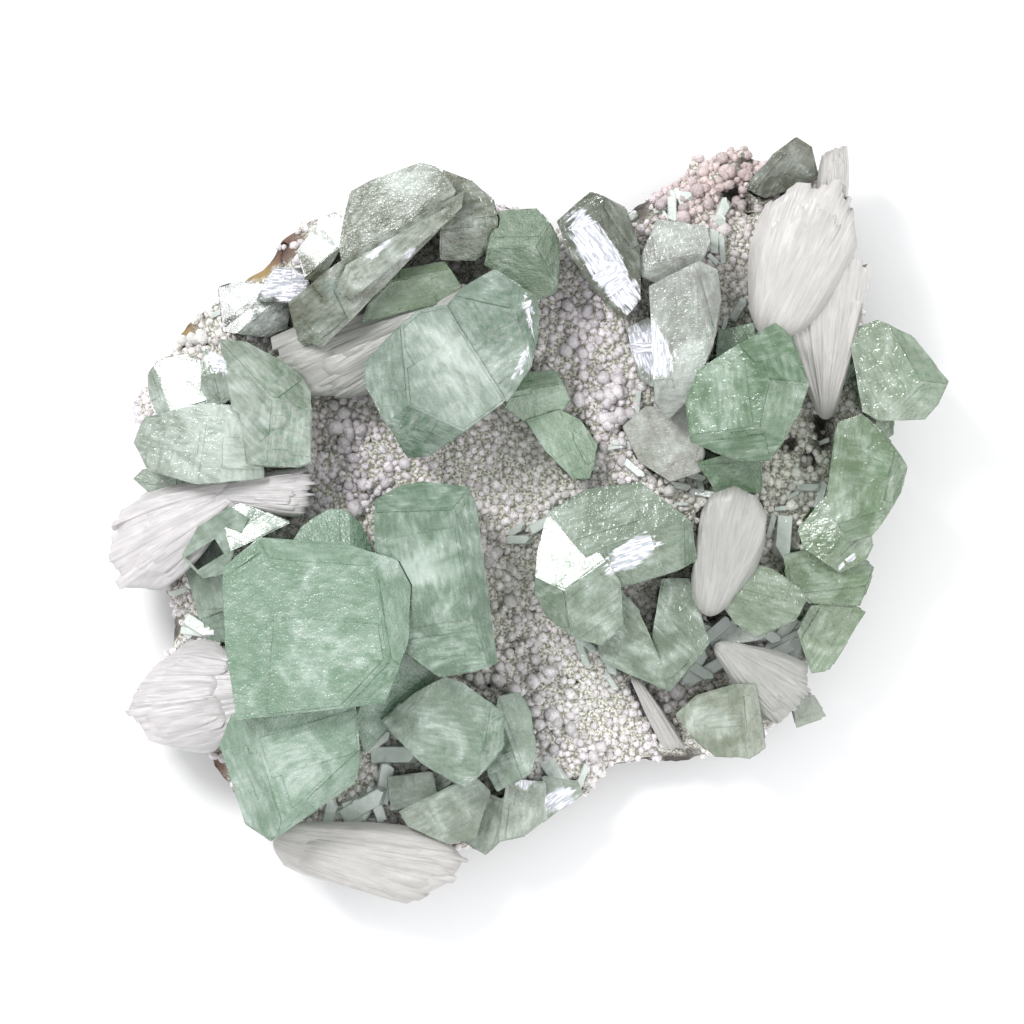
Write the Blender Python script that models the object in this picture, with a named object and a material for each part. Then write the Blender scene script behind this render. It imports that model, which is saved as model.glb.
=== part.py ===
"""Green apophyllite and cream stilbite on a plate of basalt with a crust of botryoidal druse.

Plan positions are millimetres from the middle of the plate, +X to the right and +Y up the plate.
Heights are millimetres above the flat cut underneath, which rests on z = 0. Directions are degrees
anticlockwise from +X.
"""
import math

import bmesh
import bpy
import numpy as np
from mathutils import Matrix, Vector, geometry, noise

MM = 0.001
GAP = 0.3
MERGE = 1e-7
BLOCK = 300.0

# The plate: its crust rises and falls in knobs, drops at the rim and draws in below it.
PLATE_THICKNESS = 15.0
RIM_DROP = 4.5
RIM_WIDTH = 0.12
UNDERCUT = 0.11
KNOB_HEIGHT = 1.1
KNOB_SPACING = 6.0
FINE_KNOB_SPACING = 2.6
LEDGE_DEPTH = 0.025
LEDGE_LENGTH = 11.0
LEDGE_ROWS = 5.0
BEAD_RISE = 0.15

# How much of the plate's blank is its top, how far its side goes past the cut, how fine it is kept.
TOP_SHARE = 0.65
SIDE_REACH = 1.3
PLATE_DETAIL = 0.24

# Crystals: level at which they end in the plate, the share of the rim within which they stand,
# and how they slope up past it.
ROOT_LEVEL = 12.0
RIM_ROOT = 0.93
OVERHANG = 32.0
TAPER = 4.0
BLANK_SIZE = 200.0
BLANK_BOTTOM = 6.0
BLANK_SPREAD = 3.0

# Stilbite blades.
BLADE_WIDTH = 4.2
BLADE_ROOT_WIDTH = 0.55
BLADE_START = 0.15
BLADE_SHOULDER = 0.8
BLADE_ROOF = 24.0
BLADE_STEP = 0.9

UP = Vector((0, 0, 1))

# Finishes: colour and roughness.
GREEN = ((0.30, 0.52, 0.34), 0.15)
DEEP_GREEN = ((0.22, 0.43, 0.25), 0.15)
PALE_GREEN = ((0.50, 0.62, 0.52), 0.2)
CREAM = ((0.62, 0.60, 0.55), 0.4)
WHITE = ((0.76, 0.74, 0.75), 0.4)
DRUSE = ((0.58, 0.53, 0.54), 0.85)

PLATE_MIDDLE = (-1.5, 1.5)
PLATE_OUTLINE = [
    (-32, 57), (-27, 59), (-20.5, 61.5), (-13.5, 60.5), (-7, 58.5), (-1.5, 57.5), (3, 55),
    (5.5, 52), (11, 54.5), (17.5, 56), (21, 59), (27.5, 62.5), (31.5, 66), (38, 69.5),
    (43, 65.5), (51.5, 66), (55.5, 63.5), (57, 55.5), (58.5, 48.5), (60, 42), (61.5, 35),
    (64.5, 30.5), (66, 23), (64, 17), (63, 9), (63, 2.5), (60, -3), (59, -9),
    (58, -16.5), (55, -22.5), (51, -27.5), (50, -33.5), (43.5, -39.5), (39.5, -42.5), (30.5, -44),
    (21.5, -44.5), (14.5, -45.5), (13, -49), (6.5, -52.5), (-1, -56.5), (-7, -59), (-14.5, -61.5),
    (-22.5, -65), (-32.5, -63.5), (-42, -62.5), (-47, -58), (-52, -52.5), (-57, -46.5), (-59.5, -43),
    (-65.5, -39), (-68.5, -33.5), (-65.5, -25.5), (-66, -22), (-65, -14.5), (-70, -7.5), (-71, -2),
    (-68.5, 4.5), (-67, 9), (-71, 14.5), (-74, 20.5), (-71.5, 25), (-67.5, 29), (-63.5, 32.5),
    (-62, 38), (-56.5, 40.5), (-50.5, 45), (-47, 46.5), (-45, 51), (-39, 56),
]

# Rises and hollows of the plate: where, how high, how far they reach.
HILLS = [
    ((-26, 41), 7.0, 24.0),
    ((-37.5, -23.5), 6.0, 24.0),
    ((30.5, 41), 7.0, 24.0),
    ((50.5, 7), 4.0, 20.0),
    ((19, -7.5), 4.5, 16.0),
    ((12.5, 18), 3.5, 8.0),
    ((21.5, 7), 3.0, 7.0),
    ((-5.5, 7), 2.0, 14.0),
    ((5.5, -32.5), 1.5, 14.0),
    ((-55.5, 12.5), 3.0, 18.0),
]

# Lone beads that stand out of the druse: where and how wide.
BEADS = [
    ((-36.5, 13), 3.0), ((-33.5, 7.5), 3.0), ((-31, 11.5), 2.6), ((-28.5, 6), 3.2), ((-7, -6), 3.0),
    ((-4, -16), 3.0), ((-1, -22.5), 3.4), ((-6.5, -29), 3.0), ((3, -27.5), 3.4), ((7.5, -31), 2.8),
    ((4, -37.5), 2.8), ((23.5, 58), 4.0), ((30.5, 64.5), 4.4), ((39, 66.5), 4.0),
]

# Open pits in the druse: where, how long, how wide, which way they run and how deep they go.
PITS = [
    ((12.5, 3.5), 5.0, 3.0, 20, 4.0),
    ((38, 58.5), 7.5, 3.2, -30, 4.5),
    ((53.5, 16.5), 8.5, 3.2, 100, 5.0),
    ((51, 11), 3.4, 2.8, 80, 3.5),
    ((47, 14), 3.4, 2.6, 60, 3.5),
]


def heading(degrees):
    """The level unit vector that points in a direction."""
    return Vector((math.cos(math.radians(degrees)), math.sin(math.radians(degrees))))


def plate_radius(outwards):
    """Distance from the plate's middle to its rim, along a plan vector."""
    corners = [Vector(corner) - Vector(PLATE_MIDDLE) for corner in PLATE_OUTLINE]
    turns = [math.atan2(corner.y, corner.x) for corner in corners]
    radii = [corner.length for corner in corners]
    turn = math.atan2(outwards.y, outwards.x)
    return float(np.interp(turn, turns, radii, period=2 * math.pi))


def ground(point):
    """Height of the druse at a plan point, before its knobs and the fall at the rim."""
    height = PLATE_THICKNESS
    for middle, rise, reach in HILLS:
        away = (Vector(point) - Vector(middle)).length / reach
        height += rise * math.exp(-away * away)
    return height


def top_height(tops, point):
    """Height at a plan point of the lowest of a crystal's top faces."""
    heights = []
    for through, height, towards, fall in tops:
        along = (Vector(point) - Vector(through)).dot(heading(towards))
        heights.append(height - along * math.tan(math.radians(fall)))
    return min(heights)


def cut_plane(bm, point, normal):
    """Cuts away what lies beyond a plane, in millimetres, and closes the body."""
    body = bm.verts[:] + bm.edges[:] + bm.faces[:]
    cut = bmesh.ops.bisect_plane(
        bm, geom=body, dist=MERGE, plane_co=point * MM, plane_no=normal, clear_outer=True
    )
    rim = [edge for edge in cut["geom_cut"] if isinstance(edge, bmesh.types.BMEdge)]
    if rim:
        bmesh.ops.edgeloop_fill(bm, edges=rim)


def as_object(bm, name="piece"):
    """A mesh object in the scene from a bmesh, which is freed."""
    bm.normal_update()
    bmesh.ops.recalc_face_normals(bm, faces=bm.faces[:])
    mesh = bpy.data.meshes.new(name)
    bm.to_mesh(mesh)
    bm.free()
    item = bpy.data.objects.new(name, mesh)
    bpy.context.scene.collection.objects.link(item)
    return item


def crystal(outline, *tops, grow=0.0, taper=TAPER):
    """A flat-faced crystal: a side face down from each edge of its plan outline, and its top faces.

    Each top is (plan point, height there, direction it falls in, fall in degrees). Every face moves
    outwards by grow. The sides draw in downwards by taper degrees.
    """
    corners = [Vector(corner) for corner in outline]
    corners = [corners[index] for index in geometry.convex_hull_2d(corners)]
    middle = sum(corners, Vector((0, 0))) / len(corners)
    planes = []
    lean = math.radians(taper)
    for start, end in zip(corners, corners[1:] + corners[:1]):
        along = end - start
        outward = Vector((along.y, -along.x)).normalized()
        halfway = (start + end) / 2
        rim = Vector((halfway.x, halfway.y, top_height(tops, halfway)))
        planes.append((rim, outward.to_3d() * math.cos(lean) - UP * math.sin(lean)))
    for through, height, towards, fall in tops:
        slope = math.radians(fall)
        normal = heading(towards).to_3d() * math.sin(slope) + UP * math.cos(slope)
        planes.append((Vector((through[0], through[1], height)), normal))
    bottom = BLANK_BOTTOM + BLANK_SPREAD * noise.noise(middle.to_3d())
    planes.append((Vector((middle.x, middle.y, bottom)), -UP))
    bm = bmesh.new()
    bmesh.ops.create_cube(bm, size=BLANK_SIZE * MM, matrix=Matrix.Translation(middle.to_3d() * MM))
    for point, normal in planes:
        cut_plane(bm, point + normal * grow, normal)
    return as_object(bm)


def blade(root, tip, width, root_height, tip_height, grow):
    """A stilbite blade: narrow at the root, pointed at the tip, with a ridge along it like a roof's."""
    root, tip = Vector(root), Vector(tip)
    along = tip - root
    length = along.length
    along.normalize()
    side = Vector((-along.y, along.x))
    shoulder = root + along * length * BLADE_SHOULDER
    narrow = width * BLADE_ROOT_WIDTH / 2
    wide = width / 2
    outline = [
        root - side * narrow, shoulder - side * wide, tip, shoulder + side * wide, root + side * narrow
    ]
    climb = (tip_height - root_height) / length
    roof = math.tan(math.radians(BLADE_ROOF))
    tops = []
    for sign in (-1, 1):
        gradient = along * climb - side * sign * roof
        towards = math.degrees(math.atan2(-gradient.y, -gradient.x))
        tops.append((root, root_height, towards, math.degrees(math.atan(gradient.length))))
    return crystal(outline, *tops, grow=grow)


def sheaf(outline, root, tips, root_height, tip_height, grow):
    """A fan-shaped slab that slopes from its root to its tips, with a blade raised to each tip."""
    root = Vector(root)
    far = sum((Vector(tip) for tip in tips), Vector((0, 0))) / len(tips)
    along = far - root
    towards = math.degrees(math.atan2(along.y, along.x))
    fall = math.degrees(math.atan2(root_height - tip_height, along.length))
    shapes = [crystal(outline, (root, root_height, towards, fall), grow=grow)]
    for tip in tips:
        start = root.lerp(Vector(tip), BLADE_START)
        shapes.append(
            blade(start, tip, BLADE_WIDTH, root_height + BLADE_STEP, tip_height + BLADE_STEP, grow)
        )
    return shapes


def hollow(middle, size, height, turn):
    """An ellipsoid of that length, width and depth, turned in plan, to cut a pit with."""
    bm = bmesh.new()
    bmesh.ops.create_icosphere(bm, subdivisions=1, radius=1)
    shape = Matrix.Diagonal([span / 2 * MM for span in size]).to_4x4()
    place = Matrix.Translation(Vector((middle[0], middle[1], height)) * MM)
    bm.transform(place @ Matrix.Rotation(math.radians(turn), 4, "Z") @ shape)
    return as_object(bm)


def long_slabs(grow):
    """Parallel slabs that step down from a long ridge, with the blocks at either end."""
    return [
        crystal([(-32, 59), (-27, 61.5), (-19.5, 64), (-16, 63), (-13, 59), (-15, 53), (-32.5, 41),
                 (-34, 48.5)],
                ((-23.5, 51.5), 41, 133, 22), ((-23.5, 51.5), 41, 313, 20), grow=grow),
        crystal([(-33, 46.5), (-13.5, 57), (-11.5, 59), (-12, 56), (-19.5, 48.5), (-36.5, 31),
                 (-41.5, 32), (-43, 39.5)],
                ((-23.5, 51.5), 41.5, 313, 14), ((-38, 37.5), 38, 225, 35), grow=grow),
        crystal([(-32.5, 45.5), (-14.5, 56), (-13, 54.5), (-23.5, 46.5), (-31.5, 39.5), (-34.5, 41)],
                ((-23.5, 50), 43.5, 313, 6), grow=grow),
        crystal([(-41.5, 48.5), (-37, 54.5), (-31.5, 56.5), (-32, 51.5), (-37.5, 42.5), (-40, 43.5)],
                ((-37, 49.5), 35, 150, 15), ((-35, 46.5), 35, 300, 25), grow=grow),
        crystal([(-15.5, 63), (-10.5, 61), (-6.5, 57.5), (-5.5, 54), (-6, 50), (-9.5, 46.5),
                 (-16, 47)],
                ((-10, 54.5), 36, 75, 12), ((-10.5, 49.5), 35.5, 290, 20), grow=grow),
    ]


def frosted_block(grow):
    """The block with two sloping faces that meet in a level edge."""
    return [
        crystal([(-5.5, 55.5), (1.5, 56), (5, 51.5), (5.5, 48), (5, 41), (2, 39.5), (-8, 46)],
                ((-1, 49), 37, 85, 16), ((-1, 49), 37, 275, 26), ((3.5, 46.5), 35, 350, 35),
                grow=grow),
    ]


def grey_block(grow):
    """The big grey block with a corner upwards, and the dark green crystals grown into it."""
    return [
        crystal([(-29.5, 25), (-29, 29), (-19.5, 37.5), (-15, 38.5), (-4, 21.5), (-17.5, 11.5),
                 (-22, 11)],
                ((-21.5, 31.5), 45, 325, 14), ((-22.5, 30.5), 45, 200, 32), ((-18, 13.5), 38, 262, 40),
                grow=grow),
        crystal([(-12, 41.5), (-6.5, 45), (1.5, 40), (2, 36), (0.5, 27.5), (-4, 21), (-15, 38)],
                ((-5.5, 39.5), 41.5, 70, 35), ((-7, 36), 42, 285, 12), ((0, 34), 40, 0, 40),
                grow=grow),
    ]


def dark_wedge(grow):
    """The dark green crystal between the long slabs and the grey block."""
    return [
        crystal([(-30, 35.5), (-28, 41), (-23, 45), (-15, 46.5), (-12, 42), (-15, 39)],
                ((-20.5, 42), 35.5, 285, 10), ((-21.5, 45), 35, 100, 30), grow=grow),
    ]


def left_blocks(grow):
    """Pale blocks at the left edge."""
    return [
        crystal([(-68.5, 26.5), (-66.5, 29), (-62, 30), (-59, 28.5), (-57, 21.5), (-67, 19),
                 (-68.5, 22.5)],
                ((-63, 25), 28, 140, 12), ((-64.5, 26.5), 28.5, 180, 28), grow=grow),
        crystal([(-58.5, 31), (-53.5, 28.5), (-50.5, 26.5), (-51.5, 23), (-57, 20), (-59, 24)],
                ((-55.5, 27), 31, 110, 8), ((-55.5, 22.5), 30, 280, 15), grow=grow),
        crystal([(-71, 14), (-69, 18.5), (-58.5, 21), (-51.5, 20.5), (-48, 14), (-47.5, 7.5),
                 (-59.5, 6.5), (-68.5, 9)],
                ((-59.5, 14), 34, 200, 10), ((-61, 18.5), 34, 100, 25), ((-52, 12.5), 34, 340, 12),
                grow=grow),
        crystal([(-55.5, 32.5), (-50.5, 32), (-41.5, 27), (-39, 23), (-39, 14), (-39, 10.5),
                 (-42, 9.5), (-50.5, 10), (-53, 18)],
                ((-45, 22.5), 37, 62, 30), ((-44, 19.5), 37, 290, 12), ((-48, 18), 36, 200, 25),
                grow=grow),
        crystal([(-71.5, 7.5), (-70, 9), (-66, 9.5), (-62.5, 7.5), (-63.5, 5), (-68.5, 5)],
                ((-66.5, 7.5), 24, 180, 15), grow=grow),
    ]


def left_small(grow):
    """Small grey-green crystals between the left fans and the big block."""
    return [
        crystal([(-62.5, -6.5), (-59.5, -1), (-53.5, 2.5), (-50.5, 0.5), (-53.5, -6.5),
                 (-54.5, -9.5), (-58.5, -10.5)],
                ((-56.5, -4), 29, 210, 15), grow=grow),
        crystal([(-55.5, 0.5), (-52, 3.5), (-43, -0.5), (-48, -3), (-53.5, -5.5)],
                ((-50.5, 0), 30, 120, 12), grow=grow),
        crystal([(-62, -9), (-54.5, -6.5), (-54.5, -16), (-59.5, -18)],
                ((-58.5, -13.5), 22, 200, 20), grow=grow),
        crystal([(-59.5, -16.5), (-54, -15.5), (-53.5, -22), (-58, -22)],
                ((-56.5, -19.5), 21, 240, 15), grow=grow),
    ]


def rim_plates(grow):
    """Frosty crystals at the upper left rim, with a bright level plate on them."""
    return [
        crystal([(-56, 42), (-52, 43), (-48, 42.5), (-43, 39), (-43.5, 34.5), (-48, 33), (-55, 34)],
                ((-50.5, 38.5), 27, 140, 12), ((-46.5, 36), 27, 300, 15), grow=grow),
        crystal([(-49, 39.5), (-48, 42), (-45.5, 45.5), (-40, 45.5), (-39.5, 42), (-41, 39)],
                ((-44, 42), 30, 0, 2), grow=grow),
    ]


def big_block(grow):
    """The tallest block, the one behind it, the lower left block and the wedge between."""
    return [
        crystal([(-54.5, -8.5), (-48, -3), (-33, -4), (-23.5, -7), (-21, -11.5), (-21.5, -22),
                 (-25.5, -32.5), (-48, -34), (-52, -35.5), (-54, -22)],
                ((-37.5, -16.5), 49, 235, 4), ((-23.5, -14.5), 47, 5, 38), ((-41.5, -5), 47.5, 88, 40),
                ((-50.5, -6), 47, 130, 35), ((-26, -31), 46.5, 310, 30), grow=grow),
        crystal([(-42.5, -4.5), (-40.5, -1), (-36, 2), (-33, 2), (-30, -0.5), (-28, -5.5)],
                ((-35, -2), 41, 90, 15), ((-37.5, -1), 41, 150, 25), ((-31, -2), 40.5, 30, 30),
                grow=grow),
        crystal([(-55.5, -40), (-53, -34.5), (-48, -33), (-41.5, -31.5), (-31, -32.5), (-30, -42),
                 (-31, -47), (-46, -57.5), (-51, -54.5)],
                ((-38.5, -40), 41, 255, 8), ((-47.5, -45), 39.5, 205, 42), ((-36, -49.5), 38, 305, 40),
                grow=grow),
        crystal([(-23.5, -22), (-16, -27.5), (-27, -36.5), (-29.5, -42), (-31.5, -35.5),
                 (-28.5, -29)],
                ((-24, -31), 33, 300, 18), grow=grow),
    ]


def tall_block(grow):
    """The long block with a sloping end face and a bevelled right edge."""
    return [
        crystal([(-27.5, 3.5), (-23.5, 6), (-19, 7), (-11, 6), (-9.5, 3), (-5.5, -25.5),
                 (-9.5, -27), (-16, -28), (-21.5, -24), (-27.5, -5)],
                ((-18, -7.5), 45, 270, 5), ((-18, 3), 44.5, 92, 42), ((-9.5, -9), 43, 5, 45),
                ((-13.5, -23.5), 43, 275, 12), grow=grow),
    ]


def fan_block(grow):
    """The block with a fan-shaped top, and the upright crystal beside it."""
    return [
        crystal([(-26.5, -36), (-20.5, -31), (-15, -28), (-12, -29), (-4.5, -34.5), (-4.5, -40.5),
                 (-8, -45), (-11.5, -48), (-19.5, -43.5)],
                ((-16, -32.5), 36, 262, 12), ((-7, -39), 34.5, 330, 30),
                ((-21.5, -35.5), 35.5, 180, 15), grow=grow),
        crystal([(-5.5, -32), (-1.5, -31), (0.5, -35), (1.5, -41.5), (0.5, -45.5), (-5.5, -49),
                 (-7.5, -45.5)],
                ((-2.5, -38), 28, 20, 15), ((-4.5, -40), 28, 200, 20), grow=grow),
    ]


def bottom_edge(grow):
    """Low crystals along the bottom edge."""
    return [
        crystal([(-25.5, -46.5), (-17.5, -45.5), (-16, -51.5), (-25, -52.5)],
                ((-21, -48.5), 22, 270, 3), grow=grow),
        crystal([(-23.5, -52.5), (-16, -49), (-10, -46), (-7, -49), (-9.5, -57.5), (-14.5, -58.5),
                 (-21.5, -55.5)],
                ((-14.5, -51.5), 25, 250, 12), grow=grow),
        crystal([(-11.5, -58.5), (-7.5, -60.5), (-5, -58), (-4.5, -50.5), (-8, -49.5)],
                ((-7.5, -55), 21, 200, 18), grow=grow),
        crystal([(-5.5, -58), (-0.5, -57), (3.5, -54), (3, -47.5), (-4, -47)],
                ((-1, -51.5), 22, 320, 12), grow=grow),
        crystal([(2.5, -55), (10, -49.5), (9, -47.5), (2.5, -46.5)],
                ((5.5, -50), 19.5, 300, 15), grow=grow),
    ]


def valley_pair(grow):
    """Two small crystals in the druse valley."""
    return [
        crystal([(-4.5, 20.5), (-1, 26.5), (5, 27), (7.5, 22), (5, 17.5), (-1, 18)],
                ((1, 22.5), 29, 300, 14), ((2, 24.5), 29, 90, 25), grow=grow),
        crystal([(-0.5, 18), (5.5, 20), (9.5, 18), (12.5, 13.5), (11, 7.5), (8, 7.5), (3, 12.5)],
                ((5.5, 14), 28, 260, 10), ((10, 12.5), 27, 10, 25), grow=grow),
    ]


def centre_group(grow):
    """The cloudy group right of the middle."""
    return [
        crystal([(1.5, -5.5), (3, 0), (6, 3), (16.5, -11), (17, -18.5), (13, -22.5), (8, -21),
                 (3, -17), (1, -13)],
                ((7.5, -4.5), 33, 130, 16), ((10, -14.5), 34, 300, 10), ((3.5, -14.5), 33, 210, 25),
                grow=grow),
        crystal([(3.5, 1.5), (10, 5.5), (20, 7), (29, 0), (30.5, -7), (27, -9), (15, -12.5)],
                ((18, 0), 34, 100, 8), ((20, -5.5), 33.5, 290, 18), ((28.5, -4.5), 32.5, 340, 40),
                grow=grow),
        crystal([(12.5, -22.5), (16, -12), (20, -16.5), (23.5, -24.5), (25.5, -31), (21, -28.5),
                 (13, -25.5)],
                ((19, -22), 28, 270, 15), ((20, -18), 28.5, 20, 25), grow=grow),
        crystal([(22, -22), (24, -10.5), (29, -10.5), (31, -16.5), (32.5, -22), (29, -26.5),
                 (25.5, -31)],
                ((28, -18), 28, 80, 12), ((24.5, -23.5), 27, 200, 20), grow=grow),
    ]


def dark_slab(grow):
    """The dark green slab with a bright striped face."""
    return [
        crystal([(5, 53.5), (11, 59), (17.5, 56), (20, 48.5), (20, 39.5), (17, 36), (14, 38.5),
                 (8, 46.5)],
                ((12.5, 46.5), 37, 210, 6), ((16.5, 50), 37, 35, 30), ((8, 54.5), 36, 120, 25),
                grow=grow),
    ]


def pale_blades(grow):
    """The pale block, the long pale crystal below it and the bright-faced one at its side."""
    return [
        crystal([(23, 54), (27.5, 53.5), (32, 52.5), (32.5, 50), (30.5, 45), (24, 42), (19, 44.5)],
                ((26, 49.5), 36, 100, 8), ((21, 48.5), 35.5, 170, 25), ((27, 45), 35.5, 280, 25),
                grow=grow),
        crystal([(21.5, 42), (30.5, 46.5), (34, 45), (34.5, 39.5), (33, 31.5), (29, 22), (25, 18),
                 (22.5, 21.5)],
                ((28, 37.5), 38, 200, 6), ((33, 39.5), 37, 15, 35), ((27, 23), 36.5, 260, 20),
                grow=grow),
        crystal([(17.5, 34.5), (21.5, 36.5), (25, 32.5), (26, 29.5), (24, 23), (20, 25.5)],
                ((21.5, 30.5), 31, 250, 3), grow=grow),
    ]


def coated_crystal(grow):
    """The low crystal that druse has partly covered."""
    return [
        crystal([(17, 17), (21, 20.5), (29, 21), (31.5, 14), (31.5, 9), (25.5, 7), (20, 10.5)],
                ((24.5, 15), 27, 250, 8), ((29, 10.5), 27, 320, 20), grow=grow),
    ]


def pointed_block(grow):
    """The sharp-topped block at the right, with the small ones above and below it."""
    return [
        crystal([(28, 21), (30.5, 27), (33.5, 29), (44, 35.5), (47, 33), (50, 24), (48.5, 19.5),
                 (43.5, 11), (38, 10.5), (29, 14)],
                ((39, 24), 43, 200, 10), ((44, 22.5), 43, 330, 16), ((44, 31.5), 41, 50, 25),
                ((38, 12), 39, 265, 40), grow=grow),
        crystal([(34, 34), (40.5, 35.5), (41, 30), (33.5, 28)],
                ((37, 32), 31, 100, 10), grow=grow),
        crystal([(30.5, 10.5), (38, 12.5), (42, 10.5), (42, 5), (34, 4.5)],
                ((37, 8), 27, 260, 10), grow=grow),
    ]


def top_crystal(grow):
    """The green crystal at the top right."""
    return [
        crystal([(39, 60), (44, 66), (48, 69), (51, 67), (52.5, 61.5), (42.5, 58)],
                ((46, 63), 29, 320, 15), ((44, 64.5), 29, 140, 30), grow=grow),
    ]


def right_block(grow):
    """The block that stands out at the right edge, and the short rod below it."""
    return [
        crystal([(58, 30.5), (57.5, 34), (63, 36), (69, 33), (75.5, 25), (74, 21.5), (71, 18),
                 (63, 18), (60, 19.5)],
                ((65, 28.5), 33, 180, 8), ((70.5, 23), 33, 300, 22), ((71, 29.5), 32.5, 40, 20),
                grow=grow),
        crystal([(63, 19.5), (66, 19.5), (66, 15.5), (64.5, 14.5), (63, 15)],
                ((64.5, 17), 22, 270, 4), grow=grow),
    ]


def right_edge(grow):
    """The green crystals down the right edge."""
    return [
        crystal([(55.5, 17.5), (60, 19), (65, 14), (68, 10), (67, 5), (63.5, -0.5), (61.5, -3),
                 (57, -4), (53.5, 3.5)],
                ((61.5, 9), 34, 200, 8), ((65, 7), 34, 340, 30), ((59.5, 0), 33, 270, 25),
                grow=grow),
        crystal([(48.5, -1.5), (54, 5), (58, 6.5), (61.5, -0.5), (62, -4), (60.5, -7.5),
                 (56, -9.5), (49.5, -5)],
                ((55, -1), 29, 160, 12), ((57.5, -4.5), 29, 300, 20), grow=grow),
        crystal([(46, -6.5), (54, -4.5), (60, -6.5), (62.5, -8.5), (60, -15.5), (51, -15), (47, -12)],
                ((54, -10), 25, 90, 8), ((56, -13.5), 25, 280, 20), grow=grow),
        crystal([(48.5, -20), (51, -15.5), (57, -14.5), (61, -16.5), (57.5, -22), (54.5, -27),
                 (51, -27.5)],
                ((54, -21), 23, 300, 12), grow=grow),
    ]


def three_sided(grow):
    """The three-sided crystal beside the right edge."""
    return [
        crystal([(38, -7.5), (43.5, -8.5), (49, -12.5), (50, -14.5), (48, -18), (41, -21),
                 (37, -18.5), (34.5, -14.5)],
                ((42.5, -13), 29, 80, 15), ((41.5, -16.5), 29, 250, 20), grow=grow),
    ]


def lower_right(grow):
    """The pale crystal at the lower right and the tip at the edge."""
    return [
        crystal([(26.5, -35), (30.5, -31.5), (37, -29.5), (41, -29.5), (43, -41), (39.5, -43),
                 (33.5, -42.5), (29, -38.5)],
                ((35, -35.5), 27, 230, 10), ((39.5, -36), 27, 350, 25), grow=grow),
    ]


def corner_tip(grow):
    """The small crystal at the lower right corner."""
    return [
        crystal([(47, -31.5), (51, -31), (54, -35.5), (48.5, -37.5)],
                ((50.5, -34), 20, 330, 15), grow=grow),
    ]


def upper_fan(grow):
    """The grey fan under the long slabs."""
    outline = [(-12, 42), (-16, 39.5), (-28.5, 30.5), (-32, 23), (-39, 23), (-44.5, 28.5),
               (-46, 33), (-41.5, 34.5)]
    return sheaf(outline, (-13, 41), [(-45.5, 32), (-43, 26), (-38, 22.5), (-32.5, 23)], 36, 30, grow)


def left_bow_tie(grow):
    """The white bow-tie at the left edge: a broad lobe out to the left and a pointed one inwards."""
    broad = [(-52, 7.5), (-68.5, 5.5), (-73, 2.5), (-75, -2), (-75, -7.5), (-73, -11.5),
             (-65.5, -12.5), (-62, -7.5), (-53, 2.5)]
    pointed = [(-54.5, 6.5), (-48, 9), (-40, 9.5), (-39, 4.5), (-41.5, 1), (-54.5, 3)]
    return (
        sheaf(broad, (-52.5, 5), [(-73, 1.5), (-75.5, -4.5), (-73.5, -11), (-66.5, -13)], 29, 24, grow)
        + sheaf(pointed, (-54, 5), [(-40, 10), (-38.5, 5.5), (-41, 1)], 29, 31, grow)
    )


def bottom_fan(grow):
    """The broad fan at the bottom edge."""
    outline = [(-45, -58), (-41.5, -55), (-34, -54), (-16, -56.5), (-12, -61.5), (-14, -65.5),
               (-22, -69), (-28.5, -66.5), (-37.5, -65.5), (-44, -63)]
    tips = [(-14.5, -56.5), (-11, -62), (-16, -66.5), (-22, -69.5)]
    return sheaf(outline, (-43.5, -59), tips, 27, 21, grow)


def lower_left_fan(grow):
    """The pinkish fan at the lower left."""
    outline = [(-62, -22), (-53.5, -24.5), (-53, -33), (-55.5, -39), (-60, -42), (-68.5, -40),
               (-72, -34), (-69.5, -28.5)]
    tips = [(-62.5, -22.5), (-70.5, -29.5), (-72.5, -34), (-68.5, -40)]
    return sheaf(outline, (-55, -31), tips, 26, 21, grow)


def bow_tie(grow):
    """The silky bow-tie at the upper right, with the small column above it."""
    upper = [(39.5, 38.5), (40, 44.5), (44, 52.5), (43, 57), (48.5, 60.5), (56, 60), (58, 56.5),
             (59, 50.5), (54, 41), (47, 36), (42.5, 35.5)]
    lower = [(47, 40), (57.5, 46.5), (61.5, 43.5), (60.5, 41), (56, 31.5), (55, 21.5), (52, 21.5),
             (48.5, 30)]
    return (
        sheaf(upper, (43, 37.5), [(43.5, 56.5), (50, 60.5), (56, 59), (59, 51.5)], 35, 37, grow)
        + sheaf(lower, (53.5, 23), [(57, 46.5), (61.5, 43.5), (60.5, 41)], 27, 36, grow)
        + [crystal([(52, 66.5), (57, 67.5), (57.5, 65), (56.5, 58), (52.5, 58)],
                   ((54.5, 63), 27, 90, 6), grow=grow)]
    )


def capsule(grow):
    """The smooth stilbite capsule with a waist."""
    return [
        crystal([(32.5, 5), (37, 6), (42.5, 3.5), (43, 0), (41, -6), (35.5, -15.5), (30, -14),
                 (29, -13), (31, -4), (31, 2)],
                ((37.5, -4.5), 31, 165, 22), ((37.5, -4.5), 31, 345, 22), ((37, -4), 31.5, 255, 5),
                ((38, 2.5), 30.5, 75, 35), grow=grow),
        crystal([(29.5, -13.5), (35.5, -14), (35, -19.5), (33, -19), (30, -15.5)],
                ((33, -15.5), 27.5, 255, 12), grow=grow),
    ]


def grey_fan(grow):
    """The grey fan at the lower right."""
    outline = [(33, -23.5), (38, -21.5), (49, -25.5), (50.5, -29.5), (49.5, -33), (45.5, -36.5),
               (42.5, -35.5), (37.5, -30)]
    return sheaf(outline, (35.5, -24), [(44.5, -36.5), (49.5, -33.5), (51, -29)], 28, 24, grow)


def thin_blade(grow):
    """The thin cream blade that lies on the druse."""
    return [blade((19, -28.5), (27.5, -42), 4.6, 23, 21, grow)]


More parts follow.
